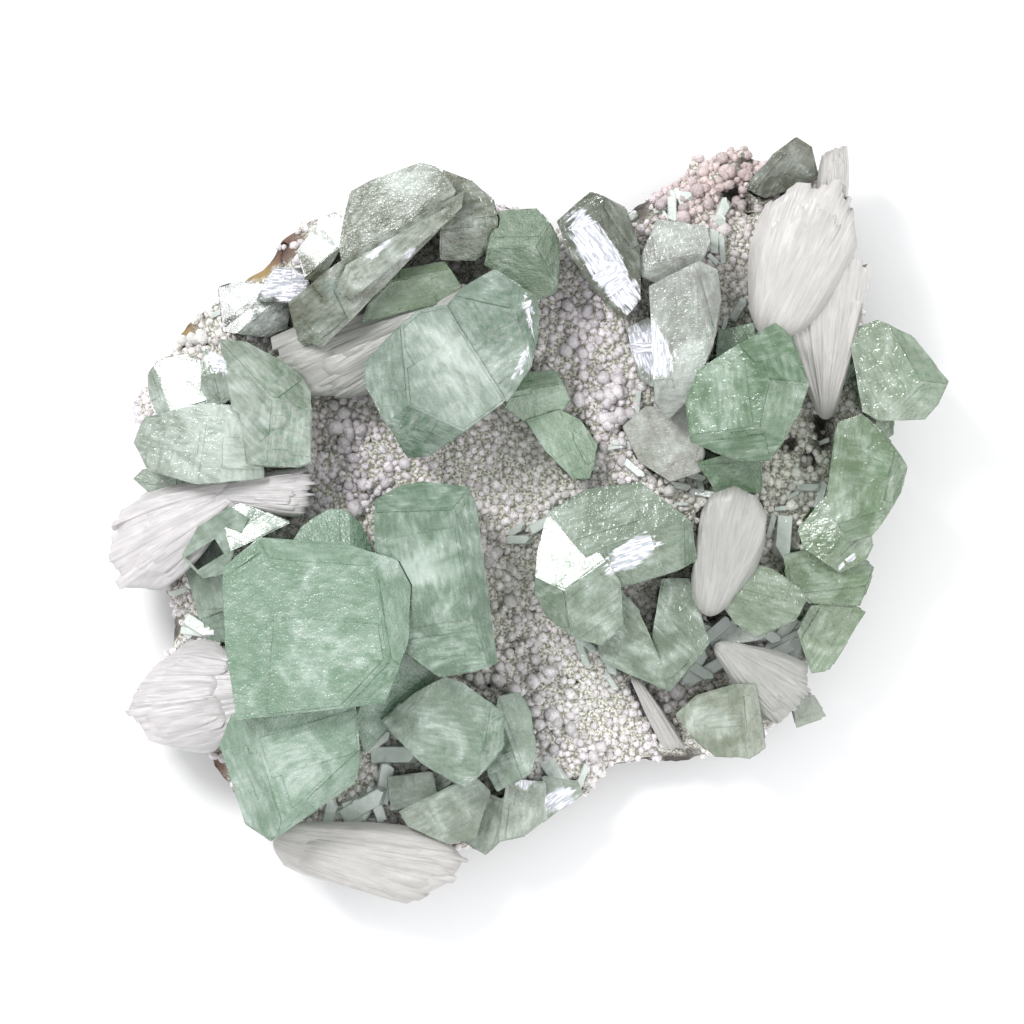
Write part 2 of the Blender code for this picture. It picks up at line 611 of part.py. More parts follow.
PIECES = [
    ("apophyllite_long_slabs", long_slabs, PALE_GREEN),
    ("apophyllite_frosted_block", frosted_block, GREEN),
    ("apophyllite_grey_block", grey_block, GREEN),
    ("apophyllite_dark_wedge", dark_wedge, DEEP_GREEN),
    ("apophyllite_left_blocks", left_blocks, PALE_GREEN),
    ("apophyllite_left_small", left_small, PALE_GREEN),
    ("apophyllite_rim_plates", rim_plates, PALE_GREEN),
    ("apophyllite_big_block", big_block, GREEN),
    ("apophyllite_tall_block", tall_block, GREEN),
    ("apophyllite_fan_block", fan_block, GREEN),
    ("apophyllite_bottom_edge", bottom_edge, PALE_GREEN),
    ("apophyllite_valley_pair", valley_pair, GREEN),
    ("apophyllite_centre_group", centre_group, PALE_GREEN),
    ("apophyllite_dark_slab", dark_slab, DEEP_GREEN),
    ("apophyllite_pale_blades", pale_blades, PALE_GREEN),
    ("apophyllite_coated_crystal", coated_crystal, PALE_GREEN),
    ("apophyllite_pointed_block", pointed_block, GREEN),
    ("apophyllite_top_crystal", top_crystal, DEEP_GREEN),
    ("apophyllite_right_block", right_block, GREEN),
    ("apophyllite_right_edge", right_edge, DEEP_GREEN),
    ("apophyllite_three_sided", three_sided, GREEN),
    ("apophyllite_lower_right", lower_right, GREEN),
    ("apophyllite_corner_tip", corner_tip, PALE_GREEN),
    ("stilbite_upper_fan", upper_fan, CREAM),
    ("stilbite_left_bow_tie", left_bow_tie, WHITE),
    ("stilbite_bottom_fan", bottom_fan, CREAM),
    ("stilbite_lower_left_fan", lower_left_fan, WHITE),
    ("stilbite_bow_tie", bow_tie, CREAM),
    ("stilbite_capsule", capsule, CREAM),
    ("stilbite_grey_fan", grey_fan, CREAM),
    ("stilbite_thin_blade", thin_blade, CREAM),
]


def settle(item):
    """Turns an object's modifiers into its mesh."""
    graph = bpy.context.evaluated_depsgraph_get()
    before = item.data
    item.data = bpy.data.meshes.new_from_object(item.evaluated_get(graph))
    item.modifiers.clear()
    bpy.data.meshes.remove(before)


def boolean(target, tool, operation):
    """Joins tool to target, or cuts it away, and removes the tool."""
    step = target.modifiers.new(operation.title(), "BOOLEAN")
    step.operation = operation
    step.object = tool
    settle(target)


def discard(item):
    """Removes an object and its mesh."""
    mesh = item.data
    bpy.data.objects.remove(item)
    bpy.data.meshes.remove(mesh)


def joined(items, name):
    """One solid from overlapping ones."""
    first, *others = items
    for other in others:
        boolean(first, other, "UNION")
        discard(other)
    first.name = name
    first.data.name = name
    return first


def below(point, normal):
    """A large block that fills the space beyond a plane."""
    bm = bmesh.new()
    bmesh.ops.create_cube(bm, size=BLOCK * MM)
    turn = UP.rotation_difference(normal).to_matrix().to_4x4()
    bm.transform(Matrix.Translation((point + normal * BLOCK / 2) * MM) @ turn)
    return as_object(bm)


def rooted(solid, grow):
    """Cuts a solid off level inside the plate, and slopes its underside up past the rim."""
    corners = [vert.co / MM for vert in solid.data.vertices]
    middle = sum(corners, Vector()) / len(corners)
    outwards = middle.to_2d() - Vector(PLATE_MIDDLE)
    inside = Vector(PLATE_MIDDLE) + outwards.normalized() * plate_radius(outwards) * RIM_ROOT
    lift = math.radians(OVERHANG)
    slope = outwards.normalized().to_3d() * math.sin(lift) - UP * math.cos(lift)
    for normal in (-UP, slope):
        point = Vector((inside.x, inside.y, ROOT_LEVEL)) + normal * grow
        waste = below(point, normal)
        boolean(solid, waste, "DIFFERENCE")
        discard(waste)
    return solid


def extent(item):
    """The low and the high corner of an object's box."""
    points = [vert.co for vert in item.data.vertices]
    return np.min(points, axis=0), np.max(points, axis=0)


def meet(one, other):
    """Whether the boxes of two objects overlap."""
    low_one, high_one = extent(one)
    low_other, high_other = extent(other)
    return bool(np.all(low_one < high_other) and np.all(low_other < high_one))


def surface(place):
    """Height of the druse at a plan point, with its knobs and the fall towards the rim."""
    coarse = noise.noise(place.to_3d() / KNOB_SPACING)
    fine = noise.noise(place.to_3d() / FINE_KNOB_SPACING)
    outwards = place - Vector(PLATE_MIDDLE)
    reach = outwards.length / plate_radius(outwards)
    fall = RIM_DROP * max(0, (reach - 1) / RIM_WIDTH + 1) ** 2
    return ground(place) + KNOB_HEIGHT * (coarse + fine / 2) - fall


def on_plate(direction):
    """Where a point of a unit sphere goes on the plate: top, broken side, or under the cut."""
    level = Vector((direction.x, direction.y))
    to_rim = level.normalized() * plate_radius(level)
    share = (1 - direction.z) / 2
    if share <= TOP_SHARE:
        place = Vector(PLATE_MIDDLE) + to_rim * math.sqrt(share / TOP_SHARE)
        return Vector((place.x, place.y, surface(place))) * MM
    edge = Vector(PLATE_MIDDLE) + to_rim
    depth = (share - TOP_SHARE) / (1 - TOP_SHARE)
    ledge = noise.noise(Vector((edge.x / LEDGE_LENGTH, edge.y / LEDGE_LENGTH, depth * LEDGE_ROWS)))
    place = Vector(PLATE_MIDDLE) + to_rim * (1 - UNDERCUT * depth + LEDGE_DEPTH * ledge)
    return Vector((place.x, place.y, surface(edge) * (1 - SIDE_REACH * depth))) * MM


def matrix(rooms):
    """The basalt plate and its druse crust, with its beads and pits, and room for each crystal."""
    bm = bmesh.new()
    bmesh.ops.create_icosphere(bm, subdivisions=5, radius=1)
    for vert in bm.verts:
        vert.co = on_plate(vert.co)
    plate = as_object(bm, "matrix")
    coarser = plate.modifiers.new("Coarser", "DECIMATE")
    coarser.ratio = PLATE_DETAIL
    settle(plate)
    waste = below(Vector((0, 0, 0)), -UP)
    boolean(plate, waste, "DIFFERENCE")
    discard(waste)
    for place, width in BEADS:
        bm = bmesh.new()
        bmesh.ops.create_icosphere(bm, subdivisions=2, radius=width / 2 * MM)
        height = surface(Vector(place)) + width * BEAD_RISE
        bm.transform(Matrix.Translation(Vector((place[0], place[1], height)) * MM))
        bead = as_object(bm)
        boolean(plate, bead, "UNION")
        discard(bead)
    for place, length, width, turn, depth in PITS:
        pit = hollow(place, (length, width, depth * 2), surface(Vector(place)), turn)
        boolean(plate, pit, "DIFFERENCE")
        discard(pit)
    for room in rooms:
        boolean(plate, room, "DIFFERENCE")
    return plate


def finish(name, colour, roughness):
    """A plain surface material."""
    material = bpy.data.materials.new(name)
    material.use_nodes = True
    shader = material.node_tree.nodes["Principled BSDF"]
    shader.inputs["Base Color"].default_value = (*colour, 1)
    shader.inputs["Roughness"].default_value = roughness
    shader.inputs["Metallic"].default_value = 0
    return material


def place_origin(item, parent):
    """Moves the object's origin to the middle of its mesh and parents it."""
    points = [vert.co for vert in item.data.vertices]
    middle = sum(points, Vector()) / len(points)
    item.data.transform(Matrix.Translation(-middle))
    item.location = middle
    item.parent = parent


def build():
    """Builds the specimen in a collection of its own."""
    for item in list(bpy.data.objects):
        bpy.data.objects.remove(item)
    collection = bpy.data.collections.new("apophyllite_specimen")
    bpy.context.scene.collection.children.link(collection)
    origin = bpy.data.objects.new("specimen_origin", None)
    collection.objects.link(origin)
    rooms = []
    solids = []
    for name, shapes, looks in PIECES:
        solid = rooted(joined(shapes(0.0), name), 0.0)
        for room in rooms:
            if meet(solid, room):
                boolean(solid, room, "DIFFERENCE")
        rooms.append(rooted(joined(shapes(GAP), name + "_room"), GAP))
        solids.append((solid, looks))
    solids.append((matrix(rooms), DRUSE))
    for room in rooms:
        discard(room)
    for solid, looks in solids:
        solid.data.materials.clear()
        solid.data.materials.append(finish(solid.name, *looks))
        place_origin(solid, origin)
        bpy.context.scene.collection.objects.unlink(solid)
        collection.objects.link(solid)


build()
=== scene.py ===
"""Green apophyllite and silky stilbite on druse-coated basalt: the looks built on the CAD solids.

Plan positions are millimetres from the frame's origin, +X to the right and +Y up the plate, with
heights in millimetres above the flat cut. Directions are degrees anticlockwise from +X.
"""
import math
import random

import bmesh
import bpy
import numpy as np
from mathutils import Matrix, Vector, noise
from mathutils.bvhtree import BVHTree


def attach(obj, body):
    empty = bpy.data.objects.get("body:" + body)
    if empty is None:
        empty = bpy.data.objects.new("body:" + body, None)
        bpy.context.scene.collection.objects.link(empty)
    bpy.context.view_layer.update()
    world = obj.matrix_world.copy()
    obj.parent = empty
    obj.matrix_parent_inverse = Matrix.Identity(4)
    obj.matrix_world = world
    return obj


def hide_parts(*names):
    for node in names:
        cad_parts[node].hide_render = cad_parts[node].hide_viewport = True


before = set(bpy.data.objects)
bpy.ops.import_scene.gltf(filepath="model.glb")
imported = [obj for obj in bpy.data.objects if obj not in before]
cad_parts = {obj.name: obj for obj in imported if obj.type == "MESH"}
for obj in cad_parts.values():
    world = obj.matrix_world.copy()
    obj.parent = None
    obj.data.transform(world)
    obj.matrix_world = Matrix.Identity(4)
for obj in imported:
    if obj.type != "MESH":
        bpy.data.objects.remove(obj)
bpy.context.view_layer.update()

# Lengths here are millimetres, and angles degrees, unless they say otherwise.
MM = 0.001
UP = Vector((0, 0, 1))
WELD = 1e-6  # metres
REFINE_ROUNDS = 7
FLAT = 0.001  # radians between faces that count as one
FLAT_FACE_ANGLE = 0.5
SKY = 100

# The camera looks straight down on a field as wide as this, at the crystals' mean height.
FIELD_WIDTH = 184.3
FIELD_MIDDLE = (-3, 1.5)
FIELD_HEIGHT = 30.0
CAMERA_HEIGHT = 1500.0
SENSOR = 36.0

# Crystals. They are refined above IN_VIEW, and a big face carries growth plates.
IN_VIEW = 12.5
CRYSTAL_MESH = 2.6
BEVEL = 0.16
BEVEL_ANGLE = 18
STEP_AREA = 14.0
STEPS_A_FACE = 2
STEP_CUT_CHANCE = 0.55
STEP_HEIGHT = (0.08, 0.28)
STEP_SUNK = 0.35
STEP_INSET = 0.93
WAVE_HEIGHT = 0.15
WAVE_LENGTH = 3.0

# Stilbite.
FAN_BULGE = 0.14
ROOT_BULGE = 0.38
BLADE_COLUMNS = 6

# Plate and druse.
PLATE_MESH = 1.85
PLATE_SUNK = 0.35
SEAT_REACH = 2.2
ROUGHNESS_LENGTH = 1.7
BEAD_SPACING = 1.2
BEAD_WIDTH = (0.95, 1.95)
BEAD_FLATTEN = 0.78
BEAD_TILT = 118
BEAD_TRIES = 60000
DRUSE_LEVEL = 8
SPLINTER_LEVEL = 9
SPLINTER_LIFT = 0.5
SPLINTER_BEVEL = 0.08

# Glass. Crystals at least as clear as GLASSY also absorb.
APOPHYLLITE_IOR = 1.535
STILBITE_IOR = 1.5
GLASSY = 0.55
ABSORPTION = (0.50, 0.84, 0.62, 1)
ABSORPTION_DENSITY = 20.0

# Colours, linear.
LILAC_WHITE = (0.90, 0.83, 0.88)
GREY_WHITE = (0.78, 0.77, 0.70)
GAP_GREY = (0.26, 0.25, 0.20)
DARK_BASALT = (0.045, 0.042, 0.036)
RED_BROWN = (0.20, 0.085, 0.05)
OCHRE = (0.32, 0.22, 0.09)
CLOUD_WHITE = (0.55, 0.61, 0.57)
# The pearly patches' white: partly the etched faces' own pale colour, partly painted sheen.
PEARLY_WHITE_AND_SHEEN = (0.90, 0.88, 0.94)
PEARL_ETCH = (0.40, 0.42, 0.47)
GLINT_WHITE = (0.93, 0.97, 0.95)
# Laid on the bevel faces: a painted highlight along the crystals' edges.
PAINTED_EDGE_HIGHLIGHT = (0.66, 0.73, 0.69)
INK = (0.20, 0.28, 0.24)
DEEPENED = (0.36, 0.64, 0.42)
DRUSE = "druse_on_basalt"


# ---------------------------------------------------------------- meshes


def new_object(bm, name):
    """A mesh object in the scene from a bmesh, which is freed."""
    mesh = bpy.data.meshes.new(name)
    bm.to_mesh(mesh)
    bm.free()
    return place_mesh(mesh, name)


def place_mesh(mesh, name):
    """An object in the scene that shows a mesh."""
    item = bpy.data.objects.new(name, mesh)
    bpy.context.scene.collection.objects.link(item)
    return item


def flat_faced(mesh):
    """A mesh as a bmesh without doubled points, and with one polygon for each flat face."""
    bm = bmesh.new()
    bm.from_mesh(mesh)
    bmesh.ops.remove_doubles(bm, verts=bm.verts[:], dist=WELD)
    limit = math.radians(FLAT_FACE_ANGLE)
    bmesh.ops.dissolve_limit(bm, angle_limit=limit, verts=bm.verts[:], edges=bm.edges[:])
    bm.normal_update()
    return bm


def vertex_places(mesh):
    """Where a mesh's vertices are, in metres."""
    places = np.zeros(len(mesh.vertices) * 3)
    mesh.vertices.foreach_get("co", places)
    return places.reshape(-1, 3)


def paint_points(mesh, name, colours):
    """Gives each vertex of a mesh a colour, under a name."""
    layer = mesh.attributes.new(name, "FLOAT_COLOR", "POINT")
    layer.data.foreach_set("color", colours.astype(np.float32).ravel())


def longest_side(corners):
    """The direction of the longest side of a ring of corners."""
    sides = [b - a for a, b in zip(corners, corners[1:] + corners[:1])]
    return max(sides, key=lambda side: side.length).normalized()


def search_tree(items):
    """A search tree over some objects."""
    points, faces = [], []
    for item in items:
        start = len(points)
        points += [vert.co.copy() for vert in item.data.vertices]
        faces += [tuple(start + k for k in face.vertices) for face in item.data.polygons]
    return BVHTree.FromPolygons(points, faces)


def refine(bm, longest, lowest):
    """Splits what is above a height until its edges are about as short as asked."""
    bmesh.ops.bisect_plane(
        bm, geom=bm.verts[:] + bm.edges[:] + bm.faces[:], dist=WELD,
        plane_co=UP * lowest * MM, plane_no=UP,
    )
    bmesh.ops.triangulate(bm, faces=bm.faces[:])
    even_out(bm)
    for _ in range(REFINE_ROUNDS):
        long_edges = [
            edge for edge in bm.edges
            if edge.calc_length() > longest * MM
            and min(edge.verts[0].co.z, edge.verts[1].co.z) > lowest * MM - WELD
        ]
        if not long_edges:
            return
        bmesh.ops.subdivide_edges(bm, edges=long_edges, cuts=1)
        bmesh.ops.triangulate(bm, faces=[face for face in bm.faces if len(face.verts) > 3])
        even_out(bm)


def even_out(bm):
    """Turns the edges inside flat faces so that no triangle there is needlessly thin."""
    flat = [edge for edge in bm.edges if edge.is_manifold and edge.calc_face_angle(1) < FLAT]
    bmesh.ops.beautify_fill(bm, faces=bm.faces[:], edges=flat)


def heading(degrees):
    """The level unit vector that points in a direction."""
    return Vector((math.cos(math.radians(degrees)), math.sin(math.radians(degrees)), 0))


def settle(item):
    """Turns an object's modifiers into its mesh."""
    graph = bpy.context.evaluated_depsgraph_get()
    before = item.data
    item.data = bpy.data.meshes.new_from_object(item.evaluated_get(graph))
    item.modifiers.clear()
    bpy.data.meshes.remove(before)


def fuse(item, tool):
    """Joins tool to item and removes it."""
    step = item.modifiers.new("Fuse", "BOOLEAN")
    step.operation = "UNION"
    step.object = tool
    settle(item)
    mesh = tool.data
    bpy.data.objects.remove(tool)
    bpy.data.meshes.remove(mesh)


def dress(item, *nodes, slot, material, crease=30):
    """Finishes a piece: its material, smooth shading between creases, and its place in the frame."""
    item.data.materials.clear()
    item.data.materials.append(material)
    item.data.shade_smooth()
    item.data.set_sharp_from_angle(angle=math.radians(crease))
    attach(item, "root")
    if nodes:
        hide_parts(*nodes)


# ---------------------------------------------------------------- crystals


def growth_plate(face, rng):
    """A thin raised plate for a flat face: a part of it, cut off parallel to its own edges."""
    corners = [loop.vert.co.copy() for loop in face.loops]
    normal = face.normal.copy()
    middle = face.calc_center_median()
    along = longest_side(corners)
    bm = bmesh.new()
    bm.faces.new([bm.verts.new(corner) for corner in corners])
    for direction in (along, normal.cross(along)):
        reach = [(corner - middle).dot(direction) for corner in corners]
        low, high = min(reach), max(reach)
        for sign, limit in ((-1, low), (1, high)):
            if rng.random() < STEP_CUT_CHANCE:
                point = middle + direction * (limit * rng.uniform(0.05, 0.8))
                bmesh.ops.bisect_plane(
                    bm, geom=bm.verts[:] + bm.edges[:] + bm.faces[:], dist=WELD,
                    plane_co=point, plane_no=direction * sign, clear_outer=True,
                )
    if not bm.faces:
        bm.free()
        return None
    outline = bm.faces[:]
    centre = sum((vert.co for vert in bm.verts), Vector()) / len(bm.verts)
    for vert in bm.verts:
        vert.co = centre + (vert.co - centre) * STEP_INSET - normal * STEP_SUNK * MM
    raised = bmesh.ops.extrude_face_region(bm, geom=outline)
    lift = normal * (STEP_SUNK + rng.uniform(*STEP_HEIGHT)) * MM
    for vert in raised["geom"]:
        if isinstance(vert, bmesh.types.BMVert):
            vert.co += lift
    bm.normal_update()
    bmesh.ops.recalc_face_normals(bm, faces=bm.faces[:])
    return new_object(bm, "plate")


def put_in_order(bm, marked):
    """Builds a mesh again, sorted by place, and gives it back with the marked faces."""
    verts = sorted(bm.verts, key=lambda vert: tuple(vert.co))
    number = {vert: index for index, vert in enumerate(verts)}
    rings = []
    for face in bm.faces:
        ring = [number[vert] for vert in face.verts]
        start = ring.index(min(ring))
        rings.append((ring[start:] + ring[:start], face in marked))
    fresh = bmesh.new()
    placed = [fresh.verts.new(vert.co) for vert in verts]
    kept = set()
    for ring, is_marked in sorted(rings):
        face = fresh.faces.new([placed[index] for index in ring])
        if is_marked:
            kept.add(face)
    bm.free()
    return fresh, kept


def bevel_edges(bm):
    """Breaks the sharp outer edges. Gives back the mesh and the narrow faces that this makes.

    The bevel leaves its parts in another order on each run, so they are put in order.
    """
    sharp = [
        edge for edge in bm.edges
        if edge.is_manifold and edge.is_convex and edge.calc_face_angle(0) > math.radians(BEVEL_ANGLE)
        and edge.calc_length() > BEVEL * 4 * MM
    ]
    made = bmesh.ops.bevel(
        bm, geom=sharp, offset=BEVEL * MM, segments=1, affect="EDGES", clamp_overlap=True
    )
    return put_in_order(bm, set(made["faces"]))


def face_frames(bm, broken=()):
    """Numbers the flat faces. Gives each one's middle, ways along and across, and if it's a bevel face
    on an edge, which gets a painted highlight.
    """
    number = bm.faces.layers.int.new("flat_face")
    frames = []
    for index, face in enumerate(bm.faces):
        face[number] = index
        corners = [loop.vert.co for loop in face.loops]
        along = longest_side(corners)
        across = face.normal.cross(along)
        frames.append((face.calc_center_median(), along, across, float(face in broken)))
    return frames


def write_grain(mesh, frames):
    """Gives each face corner its place in its flat face's own frame, in millimetres, and marks the bevel
    faces that get a painted edge highlight.
    """
    number = np.zeros(len(mesh.polygons), int)
    mesh.attributes["flat_face"].data.foreach_get("value", number)
    sizes = np.zeros(len(mesh.polygons), int)
    mesh.polygons.foreach_get("loop_total", sizes)
    of_loop = np.repeat(number, sizes)
    vert_of_loop = np.zeros(len(mesh.loops), int)
    mesh.loops.foreach_get("vertex_index", vert_of_loop)
    points = vertex_places(mesh)[vert_of_loop]
    middles, alongs, acrosses = (np.array([item[k] for item in frames]) for k in range(3))
    offset = points - middles[of_loop]
    grain = np.stack([
        np.einsum("ij,ij->i", offset, alongs[of_loop]) / MM,
        np.einsum("ij,ij->i", offset, acrosses[of_loop]) / MM,
        of_loop * 7.3,
    ], axis=1)
    layer = mesh.attributes.new("grain", "FLOAT_VECTOR", "CORNER")
    layer.data.foreach_set("vector", grain.astype(np.float32).ravel())
    # edge is 1 on the bevel faces, where the crystal shader paints a highlight.
    edge = np.array([item[3] for item in frames])[of_loop]
    layer = mesh.attributes.new("edge", "FLOAT", "CORNER")
    layer.data.foreach_set("value", edge.astype(np.float32))


def write_looks(mesh, spots):
    """Paints how cloudy, deep, pearly and dark each point is, from soft spots in plan."""
    points = vertex_places(mesh) / MM
    looks = np.zeros((len(points), 4))
    for kind, place, length, width, turn, amount in spots:
        along = heading(turn)
        dx, dy = points[:, 0] - place[0], points[:, 1] - place[1]
        u = (dx * along.x + dy * along.y) / length
        v = (dy * along.x - dx * along.y) / width
        looks[:, KINDS.index(kind)] += amount * np.exp(-(u * u + v * v) ** 1.5)
    paint_points(mesh, "looks", np.clip(looks, 0, 1))


def crystals(node, material, slot, spots):
    """A group of crystals: the CAD solid with growth steps, broken edges and wavy faces."""
    rng = random.Random(node)
    bm = flat_faced(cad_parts[node].data)
    steps = []
    for face in bm.faces:
        if face.calc_area() > STEP_AREA * MM * MM and face.normal.z > -0.3:
            steps += [growth_plate(face, rng) for _ in range(STEPS_A_FACE)]
    item = new_object(bm, node.replace("apophyllite_", "") + "_crystals")
    for step in steps:
        if step:
            fuse(item, step)
    bm, broken = bevel_edges(flat_faced(item.data))
    bm.normal_update()
    frames = face_frames(bm, broken)
    refine(bm, CRYSTAL_MESH, IN_VIEW)
    bm.normal_update()
    for vert in bm.verts:
        if vert.co.z > IN_VIEW * MM:
            wave = noise.noise(vert.co / (WAVE_LENGTH * MM))
            vert.co += vert.normal * wave * WAVE_HEIGHT * MM
    bm.to_mesh(item.data)
    bm.free()
    write_grain(item.data, frames)
    write_looks(item.data, spots)
    dress(item, node, slot=slot, material=material, crease=12)


# ---------------------------------------------------------------- stilbite


def polyline(points, share):
    """The point at a share of the way through a list of points."""
    reach = share * (len(points) - 1)
    index = min(int(reach), len(points) - 2)
    return points[index].lerp(points[index + 1], reach - index)


def silky_lobe(bm, root, tips, heights, depths, crown, ragged, seed, columns=110, rows=18):
    """A closed fan of fine blades from a root line to its tips, added to a bmesh.

    heights and depths are at the root and the tips. The top is crowned across and striated along.
    """
    root = [Vector(point) for point in root]
    tips = [Vector(point) for point in tips]
    grain = bm.verts.layers.float_vector.get("grain") or bm.verts.layers.float_vector.new("grain")
    back = polyline(root, 0.5) - polyline(tips, 0.5)
    back = back.normalized() * (root[-1] - root[0]).length * ROOT_BULGE
    top, bottom = [], []
    for row in range(rows + 1):
        s = row / rows
        top_row, bottom_row = [], []
        for column in range(columns + 1):
            t = column / columns
            strip = t * columns / BLADE_COLUMNS
            blade = math.floor(strip + 0.35 * noise.noise(Vector((t * 9, seed, 3))))
            reach = 1 + ragged * noise.noise(Vector((blade * 3.7, seed, 0)))
            start, end = polyline(root, t), polyline(tips, t)
            start = start + back * math.sin(math.pi * t)
            place = start.lerp(start + (end - start) * reach, s)
            middle = polyline(root, 0.5).lerp(polyline(tips, 0.5), s)
            bow = math.sin(math.pi * s) * crown
            place = middle + (place - middle) * (1 + FAN_BULGE * math.sin(math.pi * s))
            across = 1 - (2 * t - 1) ** 2
            ridge = noise.noise(Vector((t * columns / 16, s * 1.8, seed))) * 0.40
            ridge += noise.noise(Vector((t * columns / 4, s * 3.5, seed + 5))) * 0.12
            height = heights[0] + (heights[1] - heights[0]) * s + (crown * 0.6 + bow * 0.4) * across
            edge = min(1, 8 * t, 8 * (1 - t), 8 * (1 - s) + 0.3, 8 * s + 0.2)
            fall = (1 - edge) ** 2 * 1.6
            lift = height + ridge * edge - fall
            depth = depths[0] + (depths[1] - depths[0]) * s
            top_row.append(bm.verts.new(Vector((place.x, place.y, lift)) * MM))
            shrink = place.lerp(middle, 0.12)
            bottom_row.append(bm.verts.new(Vector((shrink.x, shrink.y, height - depth)) * MM))
            for vert in (top_row[-1], bottom_row[-1]):
                vert[grain] = Vector((s * (end - start).length, strip, seed))
        top.append(top_row)
        bottom.append(bottom_row)
    close_up(bm, top, bottom, columns, rows)


def close_up(bm, top, bottom, columns, rows):
    """The faces over and under two grids of points, and the rim between them."""
    faces = []
    for row in range(rows):
        for column in range(columns):
            for sheet, order in ((top, 1), (bottom, -1)):
                near, far = sheet[row], sheet[row + 1]
                ring = (near[column], near[column + 1], far[column + 1], far[column])
                faces.append(bm.faces.new(ring[::order]))
    rim = [(row, 0) for row in range(rows)] + [(rows, column) for column in range(columns)]
    rim += [(row, columns) for row in range(rows, 0, -1)]
    rim += [(0, column) for column in range(columns, 0, -1)]
    for (r0, c0), (r1, c1) in zip(rim, rim[1:] + rim[:1]):
        faces.append(bm.faces.new((top[r0][c0], top[r1][c1], bottom[r1][c1], bottom[r0][c0])))
    bmesh.ops.recalc_face_normals(bm, faces=faces)


def raised_blade(lobe, rng):
    """A narrower, shorter blade that lies on a lobe: its root, tips, heights, depths and crown."""
    root, tips, heights, _, crown = lobe
    root = [Vector(point) for point in root]
    tips = [Vector(point) for point in tips]
    width = rng.uniform(0.16, 0.34)
    left = rng.uniform(0.04, 0.96 - width)
    stops = [left, left + width / 2, left + width]
    near, far = rng.uniform(0.0, 0.35), rng.uniform(0.72, 1.0)
    starts = [polyline(root, t).lerp(polyline(tips, t), near) for t in stops]
    ends = [polyline(root, t).lerp(polyline(tips, t), far) for t in stops]
    rise = crown * (1 - (2 * stops[1] - 1) ** 2) * 0.7 + rng.uniform(0.1, 0.5)
    slope = [heights[0] + (heights[1] - heights[0]) * share + rise for share in (near, far)]
    return starts, ends, (slope[0] - 0.5, slope[1] - 0.2), (3.0, 2.4), 0.35


def sheaf(node, material, slot, ragged, blades, lobes):
    """A stilbite sheaf from its lobes, in place of its CAD solid."""
    rng = random.Random(node)
    bm = bmesh.new()
    for seed, lobe in enumerate(lobes):
        silky_lobe(bm, *lobe, ragged, seed=seed * 11.7 + len(node))
        for _ in range(blades):
            blade = raised_blade(lobe, rng)
            silky_lobe(bm, *blade, ragged, seed=rng.uniform(0, 90), columns=26, rows=12)
    item = new_object(bm, node.replace("stilbite_", "") + "_sheaf")
    dress(item, node, slot=slot, material=material, crease=60)


# ---------------------------------------------------------------- plate and druse


def rough_plate(material, tree):
    """The basalt under the druse, sunk a little and rough, in place of the CAD plate."""
    bm = flat_faced(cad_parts["matrix"].data)
    refine(bm, PLATE_MESH, 1.0)
    bm.normal_update()
    for vert in bm.verts:
        if vert.co.z < 0.5 * MM:
            continue
        place = vert.co / (ROUGHNESS_LENGTH * MM)
        rough = 0.5 + 0.5 * noise.noise(place) + 0.3 * noise.noise(place * 2.7)
        side = 1 - max(0, vert.normal.z)
        vert.co -= vert.normal * (PLATE_SUNK + rough * (0.3 + 0.9 * side)) * MM
    item = new_object(bm, "druse_plate")
    write_rock(item.data, tree)
    dress(item, "matrix", slot=DRUSE, material=material, crease=180)
    return item


def write_rock(mesh, tree):
    """Paints where the plate is bare rock, red-brown or ochre, and where a crystal is seated in it."""
    points = vertex_places(mesh) / MM
    paint = np.zeros((len(points), 4))
    for kind, place, reach in ROCK_SPOTS:
        away = np.hypot(points[:, 0] - place[0], points[:, 1] - place[1]) / reach
        paint[:, ("bare", "red", "ochre").index(kind)] += np.exp(-away ** 3)
    for index, vert in enumerate(mesh.vertices):
        paint[index, 3] = tree.find_nearest(vert.co, SEAT_REACH * MM)[0] is not None
    paint_points(mesh, "rock", np.clip(paint, 0, 1))


def bead_shape(sides=7, rings=3):
    """A low dome of unit radius with a closed underside: its points and its triangles."""
    points = [Vector((0, 0, 1))]
    faces = []
    for ring in range(1, rings + 1):
        tilt = math.radians(BEAD_TILT) * ring / rings
        for side in range(sides):
            turn = 2 * math.pi * (side + ring / 2) / sides
            points.append(Vector((
                math.sin(tilt) * math.cos(turn), math.sin(tilt) * math.sin(turn), math.cos(tilt)
            )))
    for side in range(sides):
        following = (side + 1) % sides
        faces.append((0, 1 + side, 1 + following))
        for ring in range(rings - 1):
            inner, outer = 1 + ring * sides, 1 + (ring + 1) * sides
            faces.append((inner + side, outer + side, inner + following))
            faces.append((outer + side, outer + following, inner + following))
    last = 1 + (rings - 1) * sides
    for side in range(1, sides - 1):
        faces.append((last, last + side + 1, last + side))
    return np.array([tuple(point) for point in points]), np.array(faces)


def scatter(plate, rng):
    """Even, random places on the upper side of the plate, with the surface's normal at each."""
    mesh = plate.data
    mesh.calc_loop_triangles()
    count = len(mesh.loop_triangles)
    corners = np.zeros(count * 3, int)
    mesh.loop_triangles.foreach_get("vertices", corners)
    areas = np.zeros(count)
    mesh.loop_triangles.foreach_get("area", areas)
    normals = np.zeros(count * 3)
    mesh.loop_triangles.foreach_get("normal", normals)
    normals = normals.reshape(-1, 3)
    corners = vertex_places(mesh)[corners.reshape(-1, 3)]
    areas[(normals[:, 2] < 0.15) | (corners[:, :, 2].mean(axis=1) < DRUSE_LEVEL * MM)] = 0
    chosen = rng.choice(count, BEAD_TRIES, p=areas / areas.sum())
    u, v = rng.random((2, BEAD_TRIES))
    flip = u + v > 1
    u[flip], v[flip] = 1 - u[flip], 1 - v[flip]
    a, b, c = corners[chosen, 0], corners[chosen, 1], corners[chosen, 2]
    places = a + (b - a) * u[:, None] + (c - a) * v[:, None]
    return spread_out(places / MM, normals[chosen])


